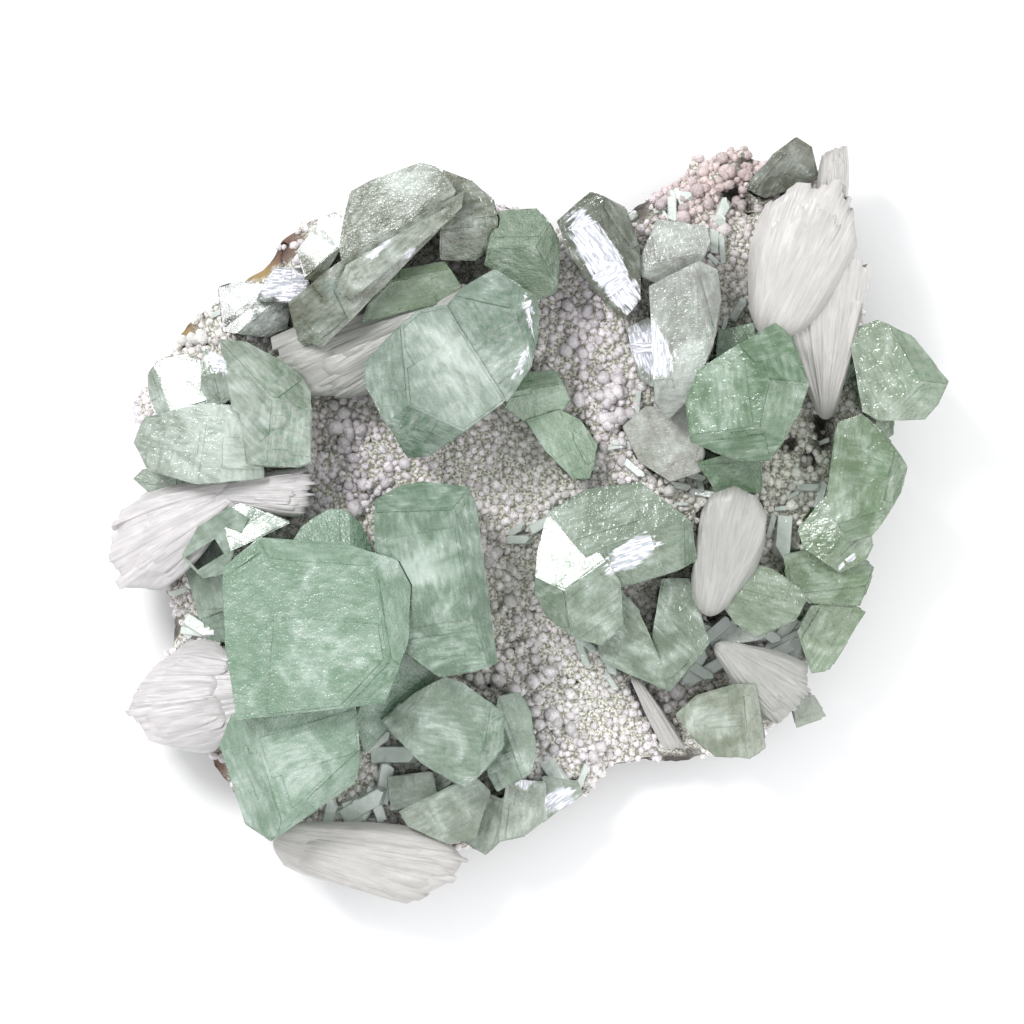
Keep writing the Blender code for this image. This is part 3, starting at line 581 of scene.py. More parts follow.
def spread_out(places, normals):
    """Drops each place that is closer than the beads' spacing to one already kept."""
    cells = {}
    kept = []
    for index, place in enumerate(places):
        cell = tuple(np.floor(place / BEAD_SPACING).astype(int))
        near = (
            other
            for x in (-1, 0, 1) for y in (-1, 0, 1) for z in (-1, 0, 1)
            for other in cells.get((cell[0] + x, cell[1] + y, cell[2] + z), ())
        )
        if all(np.sum((places[other] - place) ** 2) > BEAD_SPACING ** 2 for other in near):
            cells.setdefault(cell, []).append(index)
            kept.append(index)
    return places[kept], normals[kept]


def buried(tree, place):
    """Whether a place is inside a crystal: a ray straight up leaves it once more than it enters."""
    origin = Vector(place) * MM
    crossings = 0
    while True:
        hit, _, _, _ = tree.ray_cast(origin, UP)
        if hit is None:
            return crossings % 2 == 1
        crossings += 1
        origin = hit + UP * WELD * 10


def bead_colour(place, rng, tone):
    """The druse's colour at a place: lilac white and grey, with its tinted areas."""
    drift = 0.5 + 0.5 * noise.noise(Vector(place) / 14)
    colour = Vector(GREY_WHITE).lerp(Vector(LILAC_WHITE), min(1, drift * 1.3))
    for tint, middle, reach in DRUSE_TINTS:
        away = math.hypot(place[0] - middle[0], place[1] - middle[1]) / reach
        colour = colour.lerp(Vector(tint), 0.85 * math.exp(-away * away))
    return colour * tone * rng.uniform(0.80, 1.16)


def beads(name, places, normals, widths, material, rng, shape=None, tone=1.0):
    """One mesh of beads, each turned, squashed and tinted its own way."""
    shape, shape_faces = shape or bead_shape()
    count = len(places)
    points = np.zeros((count, len(shape), 3))
    colours = np.zeros((count, len(shape), 4))
    for index, (place, normal, width) in enumerate(zip(places, normals, widths)):
        lean = UP.rotation_difference(Vector(normal).lerp(UP, 0.3)).to_matrix()
        turn = Matrix.Rotation(rng.uniform(0, 2 * math.pi), 3, "Z")
        radius = width / 2
        stretch = Matrix.Diagonal((
            radius * rng.uniform(0.82, 1.2), radius * rng.uniform(0.82, 1.2),
            radius * rng.uniform(BEAD_FLATTEN, 1.15),
        ))
        lumps = 1 + 0.09 * rng.standard_normal(len(shape))
        points[index] = (shape * lumps[:, None]) @ np.array(lean @ turn @ stretch).T + place
        colours[index, :, :3] = bead_colour(place, rng, tone)
        colours[index, :, 3] = 1
    faces = shape_faces[None] + (np.arange(count) * len(shape))[:, None, None]
    mesh = bpy.data.meshes.new(name)
    mesh.from_pydata((points.reshape(-1, 3) * MM).tolist(), [], faces.reshape(-1, 3).tolist())
    paint_points(mesh, "tint", colours)
    dress(place_mesh(mesh, name), slot=DRUSE, material=material, crease=180)


def druse(plate, material, tree):
    """The crust of beads on the plate, wherever no crystal stands and the rock isn't bare."""
    rng = np.random.default_rng(7)
    places, normals = scatter(plate, rng)
    kept = []
    for index, place in enumerate(places):
        bare = any(
            math.hypot(place[0] - spot[0], place[1] - spot[1]) < reach * 0.8
            for _, spot, reach in ROCK_SPOTS
        )
        if not bare and not buried(tree, place):
            kept.append(index)
    places, normals = places[kept], normals[kept]
    widths = rng.uniform(*BEAD_WIDTH, len(places))
    half = places[:, 0] < np.median(places[:, 0])
    beads("druse_west", places[half], normals[half], widths[half], material, rng)
    beads("druse_east", places[~half], normals[~half], widths[~half], material, rng)
    lone_places, lone_normals, lone_widths = lone_beads(plate, tree, rng)
    smooth = bead_material("lone_bead", 0.25)
    round_shape = bead_shape(10, 5)
    beads("lone_beads", lone_places, lone_normals, lone_widths, smooth, rng, round_shape, 0.84)


def lone_beads(plate, tree, rng):
    """The bigger, smoother beads that stand in clusters on the druse."""
    ground = search_tree([plate])
    places, normals, widths = [], [], []
    for middle, spread, count, width in BEAD_CLUSTERS:
        for _ in range(count):
            x, y = np.array(middle) + rng.standard_normal(2) * spread
            hit, normal, _, _ = ground.ray_cast(Vector((x, y, SKY)) * MM, -UP)
            size = width * rng.uniform(0.5, 1.2)
            if hit and hit.z > DRUSE_LEVEL * MM and not buried(tree, hit / MM + UP * 0.5):
                places.append(np.array(hit) / MM + (0, 0, size * 0.3 + 0.3))
                normals.append(normal)
                widths.append(size)
    return np.array(places), np.array(normals), np.array(widths)


def splinter(length, width, rng):
    """A small glassy blade along +X with a slanted tip: its points and its faces."""
    half, thick = width / 2, width * rng.uniform(0.45, 0.9)
    back, tip = -length / 2, length / 2
    points = []
    for z, shrink in ((0, 1.0), (thick, 0.72)):
        slope = half * rng.uniform(0.4, 1.4)
        points += [
            (back, -half * shrink, z), (tip - slope, -half * shrink, z),
            (tip, half * 0.2 * shrink, z), (tip - slope * 0.4, half * shrink, z),
            (back, half * shrink, z),
        ]
    faces = [(4, 3, 2, 1, 0), (5, 6, 7, 8, 9)]
    faces += [(k, (k + 1) % 5, (k + 1) % 5 + 5, k + 5) for k in range(5)]
    return [Vector(point) for point in points], faces


def splinters(plate, material, slot, tree):
    """The many small clear blades and bits along the rim and between the big crystals."""
    rng = random.Random(21)
    ground = search_tree([plate])
    points, faces = [], []
    for middle, spread, count, length, turn in SPLINTER_SPOTS:
        for _ in range(count):
            x, y = rng.gauss(middle[0], spread[0]), rng.gauss(middle[1], spread[1])
            above = Vector((x, y, SKY))
            hits = [found.ray_cast(above * MM, -UP)[0] for found in (ground, tree)]
            if not hits[0] or hits[0].z < SPLINTER_LEVEL * MM:
                continue
            top = max((hit for hit in hits if hit), key=lambda hit: hit.z)
            if top.z > hits[0].z + 6 * MM:
                continue
            reach = length * rng.uniform(0.8, 1.7)
            turned = rng.gauss(turn, 40)
            ends = [above + heading(turned) * reach * k for k in (-0.5, 0.5)]
            if not all(ground.ray_cast(end * MM, -UP)[0] for end in ends):
                continue
            shape, shape_faces = splinter(reach, reach * rng.uniform(0.2, 0.45), rng)
            lean = Matrix.Rotation(math.radians(-rng.uniform(2, 32)), 3, "Y")
            spin = Matrix.Rotation(math.radians(turned), 3, "Z")
            start_index = len(points)
            base = Vector((x, y, top.z / MM + SPLINTER_LIFT))
            points += [(spin @ lean @ point + base) * MM for point in shape]
            faces += [tuple(start_index + k for k in face) for face in shape_faces]
    mesh = bpy.data.meshes.new("glassy_splinters")
    mesh.from_pydata(points, [], faces)
    bm = bmesh.new()
    bm.from_mesh(mesh)
    bmesh.ops.recalc_face_normals(bm, faces=bm.faces[:])
    bmesh.ops.bevel(
        bm, geom=bm.edges[:], offset=SPLINTER_BEVEL * MM, segments=1, affect="EDGES",
        clamp_overlap=True,
    )
    frames = face_frames(bm)
    bmesh.ops.triangulate(bm, faces=bm.faces[:])
    bm.to_mesh(mesh)
    bm.free()
    item = place_mesh(mesh, "glassy_splinters")
    write_grain(mesh, frames)
    write_looks(mesh, [])
    dress(item, slot=slot, material=material, crease=20)


# ---------------------------------------------------------------- materials


def add(tree, kind, wires=None, **settings):
    """Adds a shader node. settings are its properties, wires its inputs, as values or sockets."""
    made = tree.nodes.new("ShaderNode" + kind)
    for key, value in settings.items():
        setattr(made, key, value)
    for key, value in (wires or {}).items():
        if isinstance(value, bpy.types.NodeSocket):
            tree.links.new(value, made.inputs[key])
        else:
            made.inputs[key].default_value = value
    return made


def maths(tree, operation, first, second=0.0, clamp=False):
    """The result of a calculation on two values or sockets."""
    made = add(tree, "Math", {0: first, 1: second}, operation=operation, use_clamp=clamp)
    return made.outputs[0]


def times(tree, first, second, clamp=False):
    """The product of two values or sockets."""
    return maths(tree, "MULTIPLY", first, second, clamp)


def plus(tree, first, second, clamp=False):
    """The sum of two values or sockets."""
    return maths(tree, "ADD", first, second, clamp)


def mix(tree, share, first, second):
    """Two colours mixed."""
    first, second = ((*c, 1) if isinstance(c, tuple) else c for c in (first, second))
    made = add(tree, "Mix", {0: share, 6: first, 7: second}, data_type="RGBA")
    return made.outputs[2]


def layered(tree, shade, *layers):
    """A colour with others laid over it, each by its own share."""
    for share, colour in layers:
        shade = mix(tree, share, shade, colour)
    return shade


def dimmed(colour, share):
    """A colour times a share."""
    return tuple(c * share for c in colour)


def between(tree, value, low, high):
    """0 below low, 1 above high and smooth between."""
    wires = {"Value": value, "From Min": low, "From Max": high}
    made = add(tree, "MapRange", wires, interpolation_type="SMOOTHSTEP")
    return made.outputs[0]


def stretched(tree, vector, scale):
    """A vector multiplied by a scale for each axis."""
    made = add(tree, "VectorMath", {0: vector, 1: scale}, operation="MULTIPLY")
    return made.outputs[0]


def clouds(tree, vector, scale, detail=4.0, distortion=0.0):
    """A smooth noise, about 0.5 on average."""
    wires = {"Vector": vector, "Scale": scale, "Detail": detail, "Distortion": distortion}
    return add(tree, "TexNoise", wires).outputs[0]


def material_tree(name):
    """A new material with its shader and the place of each point in millimetres."""
    material = bpy.data.materials.new(name)
    material.use_nodes = True
    tree = material.node_tree
    shader = tree.nodes["Principled BSDF"]
    where = add(tree, "TexCoord").outputs["Object"]
    return material, tree, shader, stretched(tree, where, (1 / MM, 1 / MM, 1 / MM))


def bump(tree, shader, height, strength, distance):
    """Feeds a height to the shader's normal."""
    wires = {"Height": height, "Strength": strength, "Distance": distance * MM}
    tree.links.new(add(tree, "Bump", wires).outputs[0], shader.inputs["Normal"])


def apophyllite(name, colour, cloud, frost, clear):
    """Green crystal with cloudy veils, darker depths, glinting lines, a painted highlight on its
    bevelled edges, and pearly patches whose white is partly painted sheen.
    """
    material, tree, shader, place = material_tree(name)
    grain = add(tree, "Attribute", attribute_name="grain").outputs["Vector"]
    # edge marks the bevel faces, which get a painted highlight.
    edge = add(tree, "Attribute", attribute_name="edge").outputs["Fac"]
    looks = add(tree, "Attribute", attribute_name="looks")
    cloud_spot, deep, pearl_spot = add(tree, "SeparateColor", {0: looks.outputs["Color"]}).outputs
    dark = looks.outputs["Alpha"]
    veils = clouds(tree, place, 0.14, 3.0, 1.4)
    wisps = clouds(tree, stretched(tree, grain, (0.35, 1.3, 1.0)), 1.0, 2.0)
    mottle = clouds(tree, place, 0.9, 1.0)
    stipple = clouds(tree, place, 3.4, 0.0)
    amount = plus(tree, times(tree, veils, 0.65), times(tree, wisps, 0.35))
    amount = plus(tree, amount, times(tree, cloud_spot, 0.20))
    cloudy = between(tree, amount, 0.44 - 0.20 * cloud, 0.96 - 0.30 * cloud)
    chips = add(tree, "TexVoronoi", {"Vector": stretched(tree, grain, (0.6, 1.0, 1.0)), "Scale": 1.0})
    chip_tone = add(tree, "SeparateColor", {0: chips.outputs["Color"]}).outputs[0]
    sparkle = clouds(tree, stretched(tree, grain, (1.1, 4.5, 1.0)), 1.0, 1.0)
    glint = between(tree, plus(tree, sparkle, times(tree, veils, 0.5)), 0.97, 1.06)
    depth = between(tree, clouds(tree, place, 0.10, 1.0), 0.42, 0.72)
    depth = plus(tree, times(tree, depth, 0.45), times(tree, deep, 0.95), True)
    inky = between(tree, plus(tree, dark, times(tree, mottle, 0.5)), 0.75, 1.25)
    ragged = plus(tree, pearl_spot, times(tree, wisps, 0.9))
    pearly = times(tree, between(tree, ragged, 0.84, 1.02), 0.9)
    etch = between(tree, clouds(tree, stretched(tree, grain, (0.5, 3.0, 1.0)), 1.0, 1.0), 0.40, 0.60)
    shade = layered(
        tree, colour,
        (depth, tuple(c * share for c, share in zip(colour, DEEPENED))),
        (between(tree, mottle, 0.62, 0.40), dimmed(colour, 0.93)),
        (times(tree, chip_tone, 0.18), CLOUD_WHITE),
        (between(tree, stipple, 0.46, 0.26), dimmed(colour, 0.88)),
        (times(tree, cloudy, 0.68), CLOUD_WHITE),
        (times(tree, glint, 0.6), GLINT_WHITE),
        # painted highlight on the bevelled edges
        (times(tree, edge, 0.5), PAINTED_EDGE_HIGHLIGHT),
        (times(tree, inky, 0.6), INK),
        # pearly patches: white that is partly their own pale colour and partly painted sheen
        (pearly, mix(tree, etch, PEARL_ETCH, PEARLY_WHITE_AND_SHEEN)),
    )
    tree.links.new(shade, shader.inputs["Base Color"])
    rough = plus(tree, frost - 0.20, times(tree, mottle, 0.26))
    rough = maths(tree, "SUBTRACT", rough, times(tree, glint, 0.15), True)
    tree.links.new(rough, shader.inputs["Roughness"])
    height = plus(tree, times(tree, stipple, frost), times(tree, mottle, 0.9))
    bump(tree, shader, height, 0.2 + frost, 0.6)
    glass(tree, shader, cloudy, pearly, clear)
    return material


def glass(tree, shader, cloudy, pearly, clear):
    """Lets light through the shader, less in the clouds and not in the pearly patches."""
    see_through = maths(tree, "SUBTRACT", clear, times(tree, cloudy, clear * 0.7))
    see_through = times(tree, see_through, maths(tree, "SUBTRACT", 1.0, pearly), True)
    tree.links.new(see_through, shader.inputs["Transmission Weight"])
    shader.inputs["IOR"].default_value = APOPHYLLITE_IOR
    shader.inputs["Coat Weight"].default_value = 0.5
    shader.inputs["Coat Roughness"].default_value = 0.10
    if clear >= GLASSY:
        absorb = add(tree, "VolumeAbsorption", {"Density": ABSORPTION_DENSITY, "Color": ABSORPTION})
        tree.links.new(absorb.outputs[0], tree.nodes["Material Output"].inputs["Volume"])


def stilbite(name, colour, streak_colour):
    """Silky stilbite: fine streaks along the blades and a soft pearly gloss."""
    material, tree, shader, place = material_tree(name)
    grain = add(tree, "Attribute", attribute_name="grain").outputs["Vector"]
    fine = clouds(tree, stretched(tree, grain, (0.22, 3.0, 1.0)), 1.0, 2.0)
    broad = clouds(tree, stretched(tree, grain, (0.12, 0.5, 1.0)), 1.0, 3.0, 0.8)
    patches = clouds(tree, place, 0.18, 2.0, 1.2)
    shade = mix(tree, between(tree, fine, 0.30, 0.62), streak_colour, colour)
    lift = times(tree, between(tree, broad, 0.45, 0.72), 0.7)
    shade = mix(tree, lift, shade, tuple(min(0.97, c * 1.18) for c in colour))
    blotches = times(tree, between(tree, patches, 0.48, 0.70), 0.4)
    shade = mix(tree, blotches, shade, streak_colour)
    tree.links.new(shade, shader.inputs["Base Color"])
    rough = plus(tree, 0.18, times(tree, broad, 0.35))
    tree.links.new(rough, shader.inputs["Roughness"])
    shader.inputs["Transmission Weight"].default_value = 0.30
    shader.inputs["IOR"].default_value = STILBITE_IOR
    shader.inputs["Sheen Weight"].default_value = 0.2
    bump(tree, shader, plus(tree, fine, times(tree, broad, 0.9)), 0.45, 0.28)
    return material


def bead_material(name, pitted):
    """The druse: chalky beads, each with its own tint, and pitted as much as asked."""
    material, tree, shader, place = material_tree(name)
    tint = add(tree, "Attribute", attribute_name="tint").outputs["Color"]
    grit = clouds(tree, place, 3.2, 2.0)
    pits = between(tree, clouds(tree, place, 1.7, 1.0), 0.47, 0.34)
    shade = mix(tree, between(tree, grit, 0.28, 0.48), mix(tree, 0.35, tint, GAP_GREY), tint)
    pale = times(tree, between(tree, grit, 0.52, 0.72), 0.6)
    shade = mix(tree, pale, shade, (0.93, 0.90, 0.93))
    shade = mix(tree, times(tree, pits, pitted), shade, mix(tree, 0.55, tint, GAP_GREY))
    tree.links.new(shade, shader.inputs["Base Color"])
    tree.links.new(plus(tree, 0.42, times(tree, grit, 0.3)), shader.inputs["Roughness"])
    bump(tree, shader, grit, 0.7, 0.35)
    return material


def rock_material():
    """The plate: dark olive grey between the beads, rough basalt on its sides."""
    material, tree, shader, place = material_tree("basalt_and_druse")
    painted = add(tree, "Attribute", attribute_name="rock")
    rock = add(tree, "SeparateColor", {0: painted.outputs["Color"]})
    coarse = clouds(tree, place, 0.5, 4.0)
    grit = clouds(tree, place, 2.2, 3.0)
    basalt = mix(tree, between(tree, coarse, 0.35, 0.65), DARK_BASALT, (0.10, 0.085, 0.07))
    basalt = mix(tree, between(tree, grit, 0.6, 0.75), basalt, (0.20, 0.19, 0.17))
    basalt = mix(tree, times(tree, rock.outputs[1], coarse), basalt, RED_BROWN)
    basalt = mix(tree, rock.outputs[2], basalt, OCHRE)
    crust = mix(tree, between(tree, grit, 0.4, 0.62), GAP_GREY, GREY_WHITE)
    up = add(tree, "SeparateXYZ", {0: add(tree, "NewGeometry").outputs["Normal"]}).outputs[2]
    level = add(tree, "SeparateXYZ", {0: place}).outputs[2]
    coated = times(tree, between(tree, up, 0.0, 0.5), between(tree, level, 7.0, 10.0))
    coated = times(tree, coated, maths(tree, "SUBTRACT", 1.0, rock.outputs[0]), clamp=True)
    seat = times(tree, painted.outputs["Alpha"], between(tree, level, 5.0, 8.0))
    shade = mix(tree, maths(tree, "MAXIMUM", coated, seat), basalt, crust)
    tree.links.new(shade, shader.inputs["Base Color"])
    tree.links.new(plus(tree, 0.6, times(tree, grit, 0.3)), shader.inputs["Roughness"])
    bump(tree, shader, plus(tree, grit, coarse), 0.8, 0.6)
    return material


# ---------------------------------------------------------------- studio


def studio():
    """Pale floor, soft light from the upper left, and the camera straight above."""
    scene = bpy.context.scene
    scene.view_settings.view_transform = "Standard"
    world = bpy.data.worlds.new("studio")
    world.use_nodes = True
    world.node_tree.nodes["Background"].inputs["Color"].default_value = (0.97, 0.98, 1, 1)
    world.node_tree.nodes["Background"].inputs["Strength"].default_value = 1.04
    scene.world = world
    for name, place, size, power in SOFTBOXES:
        light = bpy.data.lights.new(name, "AREA")
        light.shape = "SQUARE"
        light.size = size
        light.energy = power
        lamp = bpy.data.objects.new(name, light)
        lamp.location = place
        lamp.rotation_euler = (-Vector(place)).to_track_quat("-Z", "Y").to_euler()
        scene.collection.objects.link(lamp)
    camera = bpy.data.objects.new("camera", bpy.data.cameras.new("camera"))
    camera.location = Vector((*FIELD_MIDDLE, CAMERA_HEIGHT + FIELD_HEIGHT)) * MM
    camera.data.sensor_width = SENSOR
    camera.data.lens = SENSOR * CAMERA_HEIGHT / FIELD_WIDTH
    camera.data.clip_end = 50
    scene.collection.objects.link(camera)
    scene.camera = camera
    floor()


def floor():
    """A plain pale floor."""
    bm = bmesh.new()
    bmesh.ops.create_grid(bm, x_segments=2, y_segments=2, size=4)
    item = new_object(bm, "floor")
    material, tree, shader, place = material_tree("pale_floor")
    shade = mix(tree, clouds(tree, place, 0.02), (0.86, 0.86, 0.86), (0.88, 0.88, 0.88))
    tree.links.new(shade, shader.inputs["Base Color"])
    shader.inputs["Roughness"].default_value = 0.9
    item.data.materials.append(material)


KINDS = ("cloud", "deep", "pearl", "dark")

SOFTBOXES = [
    ("key", (-0.36, 0.36, 0.78), 0.24, 5.6),
    ("fill", (0.5, -0.2, 0.7), 0.8, 3),
]

# Bare and tinted rock: kind, where and how far it reaches.
ROCK_SPOTS = [
    ("bare", (36.5, 59), 2.6),
    ("bare", (39.5, 58), 2.6),
    ("bare", (53.5, 18), 2.4),
    ("bare", (54, 14), 2.4),
    ("bare", (11.5, 4), 2),
    ("bare", (13.5, 3), 1.8),
    ("bare", (51, 11), 1.9),
    ("bare", (47.5, 14), 1.7),
    ("bare", (39, 65), 1.6),
    ("bare", (-44.5, 50), 4.5),
    ("red", (-44.5, 50), 6),
    ("bare", (-49, 44.5), 4),
    ("ochre", (-49, 44.5), 3.5),
    ("bare", (-60, 38.5), 2.5),
    ("ochre", (-62.5, 34.5), 2),
    ("bare", (-62.5, 34.5), 2.5),
    ("bare", (-57, -44.5), 3.5),
    ("red", (-57, -44.5), 4.5),
    ("bare", (-65.5, -20), 3.5),
    ("bare", (27, -43.5), 4.5),
    ("bare", (20, 56.5), 3),
    ("bare", (35, 69), 1.8),
]

# Clusters of bigger beads: middle, spread, how many and how wide.
BEAD_CLUSTERS = [
    ((-35.5, 16), 3.2, 26, 2.3), ((-32, 7), 2.6, 14, 2.2), ((-26, 7), 3, 10, 1.9),
    ((-7, -6.5), 2, 9, 2.3), ((-1, -19), 3.4, 14, 2), ((-7.5, -29), 2.2, 9, 2.4),
    ((3.5, -29), 2.2, 6, 2.5), ((4, -39), 3, 12, 2.1), ((26, -33.5), 1.6, 5, 2.3),
    ((17.5, 18), 2.6, 22, 2.4), ((12.5, 23), 3, 16, 2.3), ((22, 7), 2.6, 14, 2.1),
    ((8, 31.5), 3, 10, 2), ((10, 39.5), 2.5, 8, 2.1), ((29, 62), 5, 40, 2.3),
    ((37, 57.5), 3, 18, 2), ((37, 66.5), 3.5, 18, 2.1), ((47, 9), 3.4, 14, 1.8),
    ((-69, 24.5), 1.4, 8, 2), ((-68.5, -31), 2, 8, 2), ((-56.5, -43.5), 2.4, 14, 2),
    ((8, -40), 3.4, 12, 1.9), ((-62, 33), 2.4, 14, 2.1), ((-41.5, 49.5), 2.4, 14, 1.9),
]

# Spots of small clear blades: middle, spread, how many, how long and which way they run.
SPLINTER_SPOTS = [
    ((57.5, 28.5), (1.6, 4), 12, 3.4, 60), ((53, -9), (5, 2.5), 26, 7, -35),
    ((56, -14.5), (3.5, 2.5), 14, 6.5, -60), ((-18, -51.5), (7, 4), 40, 6, 20),
    ((-4.5, -53.5), (7, 4), 44, 4.6, 60), ((3.5, -49.5), (3.5, 2), 14, 4.6, 30),
    ((24.5, 14), (5, 5), 34, 3.6, -50), ((-67, 7.5), (4, 1.5), 14, 3.6, 0),
    ((-57.5, -15.5), (3.5, 5.5), 30, 4.4, 30), ((41.5, -22), (7, 3), 26, 7, 20),
    ((43.5, -16.5), (5, 2.5), 16, 6, -20), ((30.5, -18), (4, 3), 16, 6, 60),
    ((5.5, -4), (3, 3), 14, 4, 40), ((35.5, 9), (4, 2.4), 18, 3.6, 0),
    ((37, 33), (3, 2.4), 12, 3.4, 30), ((51.5, 3.5), (2.4, 4), 14, 3.6, 60),
    ((20, -25.5), (5, 2.5), 20, 4, -40), ((-55, 39.5), (4, 2), 12, 3.8, 10),
    ((22.5, 56.5), (3.4, 1.2), 10, 4, 0), ((34.5, 53), (1.6, 4), 10, 3.4, 70),
    ((-28.5, -53.5), (4, 2), 14, 4, 0), ((-50.5, -54), (2, 3), 8, 4, 60),
]

# Tinted areas of the druse.
DRUSE_TINTS = [
    ((0.6, 0.46, 0.45), (29, 59), 9),
    ((0.6, 0.45, 0.43), (39, 64.5), 7),
    ((0.95, 0.96, 0.84), (45, 9), 13),
    (GREY_WHITE, (-12.5, -13), 12),
    (LILAC_WHITE, (11, 36), 10),
    (LILAC_WHITE, (-19.5, 7), 14),
    ((0.66, 0.64, 0.64), (6.5, -35.5), 11),
]

# Crystal groups: colour, cloudiness, frosting, clearness, slot and painted spots
# (kind, where, length, width, turn, amount).
# A pearl spot's white is partly the face's own pale colour and partly painted sheen.
PALE, GREEN, DEEP = "pale_apophyllite", "green_apophyllite", "deep_green_apophyllite"
CRYSTALS = {
    "long_slabs": ((0.12, 0.13, 0.07), 0.5, 0.3, 0.44, PALE, [
        ("cloud", (-24, 48.5), 12, 3, 40, 0.5), ("cloud", (-21.5, 61), 5, 3, 20, 1),
        ("cloud", (-37, 51), 4, 6, 60, 0.9), ("deep", (-37.5, 35), 5, 4, 40, 0.9),
        ("dark", (-35, 41), 2.5, 4, 40, 0.9), ("deep", (-9, 52), 8, 5, 80, 0.6),
        ("pearl", (-27, 48), 3.4, 0.8, 40, 1), ("pearl", (-21.5, 47.5), 2, 0.7, 40, 0.8),
    ]),
    "frosted_block": ((0.17, 0.25, 0.15), 0.2, 0.45, 0.42, GREEN, [
        ("deep", (-1.5, 52), 7, 4, 0, 0.5),
    ]),
    "grey_block": ((0.22, 0.31, 0.23), 0.4, 0.28, 0.48, GREEN, [
        ("cloud", (-13.5, 28.5), 6, 8, 50, 1), ("deep", (-26, 21.5), 3, 8, 70, 0.5),
        ("deep", (-5.5, 35), 8, 7, 30, 1), ("pearl", (0, 37.5), 1, 4.5, 10, 0.7),
        ("pearl", (-1.5, 27.5), 1, 5, -25, 0.7), ("deep", (-19.5, 14), 5, 4, 30, 0.4),
    ]),
    "dark_wedge": ((0.33, 0.46, 0.28), 0.2, 0.25, 0.6, DEEP, []),
    "left_blocks": ((0.35, 0.41, 0.32), 0.6, 0.25, 0.6, PALE, [
        ("cloud", (-55.5, 16), 9, 9, 0, 0.9), ("deep", (-43, 18), 4, 10, 0, 1),
        ("deep", (-44, 12.5), 4, 4, 0, 0.8), ("pearl", (-56, 28.5), 1.6, 3, 35, 1),
        ("cloud", (-63, 24), 4, 4, 0, 0.5), ("deep", (-45, 27), 5, 3, -25, 0.6),
    ]),
    "left_small": ((0.32, 0.44, 0.32), 0.5, 0.25, 0.6, PALE, []),
    "rim_plates": ((0.04, 0.05, 0.03), 0.5, 0.3, 0.44, PALE, [
        ("pearl", (-44, 42.5), 5.2, 3.4, 0, 1),
    ]),
    "big_block": ((0.22, 0.36, 0.24), 0.28, 0.35, 0.44, GREEN, [
        ("cloud", (-34, -23.5), 9, 4, 15, 0.6), ("cloud", (-25, -7.5), 3, 2, -40, 0.9),
        ("cloud", (-42, -44.5), 8, 6, -30, 0.9), ("deep", (-25, -29), 4, 8, 20, 0.7),
        ("cloud", (-52, -49), 3, 9, 0, 0.6),
    ]),
    "tall_block": ((0.21, 0.34, 0.22), 0.4, 0.22, 0.6, GREEN, [
        ("cloud", (-18, -8.5), 7, 4, 0, 1), ("deep", (-18, 5), 8, 2.5, 0, 0.7),
        ("dark", (-13.5, -20), 2.5, 2, 0, 0.6), ("deep", (-14.5, -23.5), 7, 3, 0, 0.6),
        ("cloud", (-15, -17.5), 2, 3, 10, 0.5),
    ]),
    "fan_block": ((0.23, 0.33, 0.23), 0.4, 0.25, 0.48, GREEN, [
        ("cloud", (-16, -37), 6, 3, -40, 0.4), ("deep", (-6, -38), 2.5, 6, 0, 0.8),
    ]),
    "bottom_edge": ((0.3, 0.36, 0.27), 0.5, 0.25, 0.52, PALE, [
        ("pearl", (5.5, -50.5), 3.5, 2.5, 30, 0.9), ("pearl", (-1, -47.5), 2, 1.5, 10, 0.9),
    ]),
    "valley_pair": ((0.28, 0.41, 0.26), 0.25, 0.3, 0.44, GREEN, [("deep", (1, 24), 5, 2, 0, 0.6)]),
    "centre_group": ((0.22, 0.3, 0.2), 0.4, 0.25, 0.52, PALE, [
        ("pearl", (18.5, -6), 6, 2.6, 32, 1), ("deep", (11, -14.5), 7, 7, 0, 0.4),
        ("cloud", (5.5, -2), 5, 5, 0, 0.6), ("deep", (29, -4.5), 3, 5, 0, 0.7),
    ]),
    "dark_slab": ((0.1, 0.11, 0.06), 0.3, 0.22, 0.6, DEEP, [
        ("pearl", (13.5, 46.5), 12, 3.4, -58, 1),
    ]),
    "pale_blades": ((0.35, 0.36, 0.32), 0.6, 0.3, 0.44, PALE, [
        ("pearl", (22, 30.5), 6, 3.6, -60, 1), ("cloud", (29, 28.5), 2.5, 5, -15, 1),
    ]),
    "coated_crystal": ((0.41, 0.4, 0.35), 0.6, 0.4, 0.42, PALE, []),
    "pointed_block": ((0.16, 0.3, 0.14), 0.35, 0.25, 0.6, GREEN, [
        ("deep", (46, 21.5), 4, 8, 0, 1), ("deep", (42.5, 26), 4, 3, 30, 0.6),
        ("cloud", (33.5, 21.5), 5, 8, 0, 0.7),
    ]),
    "top_crystal": ((0.1, 0.1, 0.05), 0.35, 0.25, 0.6, DEEP, [("deep", (47, 62), 6, 3, 0, 0.6)]),
    "right_block": ((0.32, 0.41, 0.28), 0.35, 0.22, 0.6, GREEN, [("deep", (70.5, 25), 4, 6, 0, 0.5)]),
    "right_edge": ((0.2, 0.31, 0.15), 0.35, 0.22, 0.6, DEEP, [
        ("deep", (63, 10.5), 6, 5, -40, 0.7), ("cloud", (55, 1.5), 4, 6, 0, 0.7),
        ("pearl", (57.5, -7.5), 3, 0.8, 40, 0.8),
    ]),
    "three_sided": ((0.23, 0.31, 0.19), 0.3, 0.28, 0.48, GREEN, []),
    "lower_right": ((0.28, 0.32, 0.22), 0.45, 0.25, 0.52, GREEN, [("cloud", (32.5, -36), 5, 3, 0, 0.9)]),
    "corner_tip": ((0.29, 0.33, 0.25), 0.5, 0.3, 0.44, PALE, []),
}

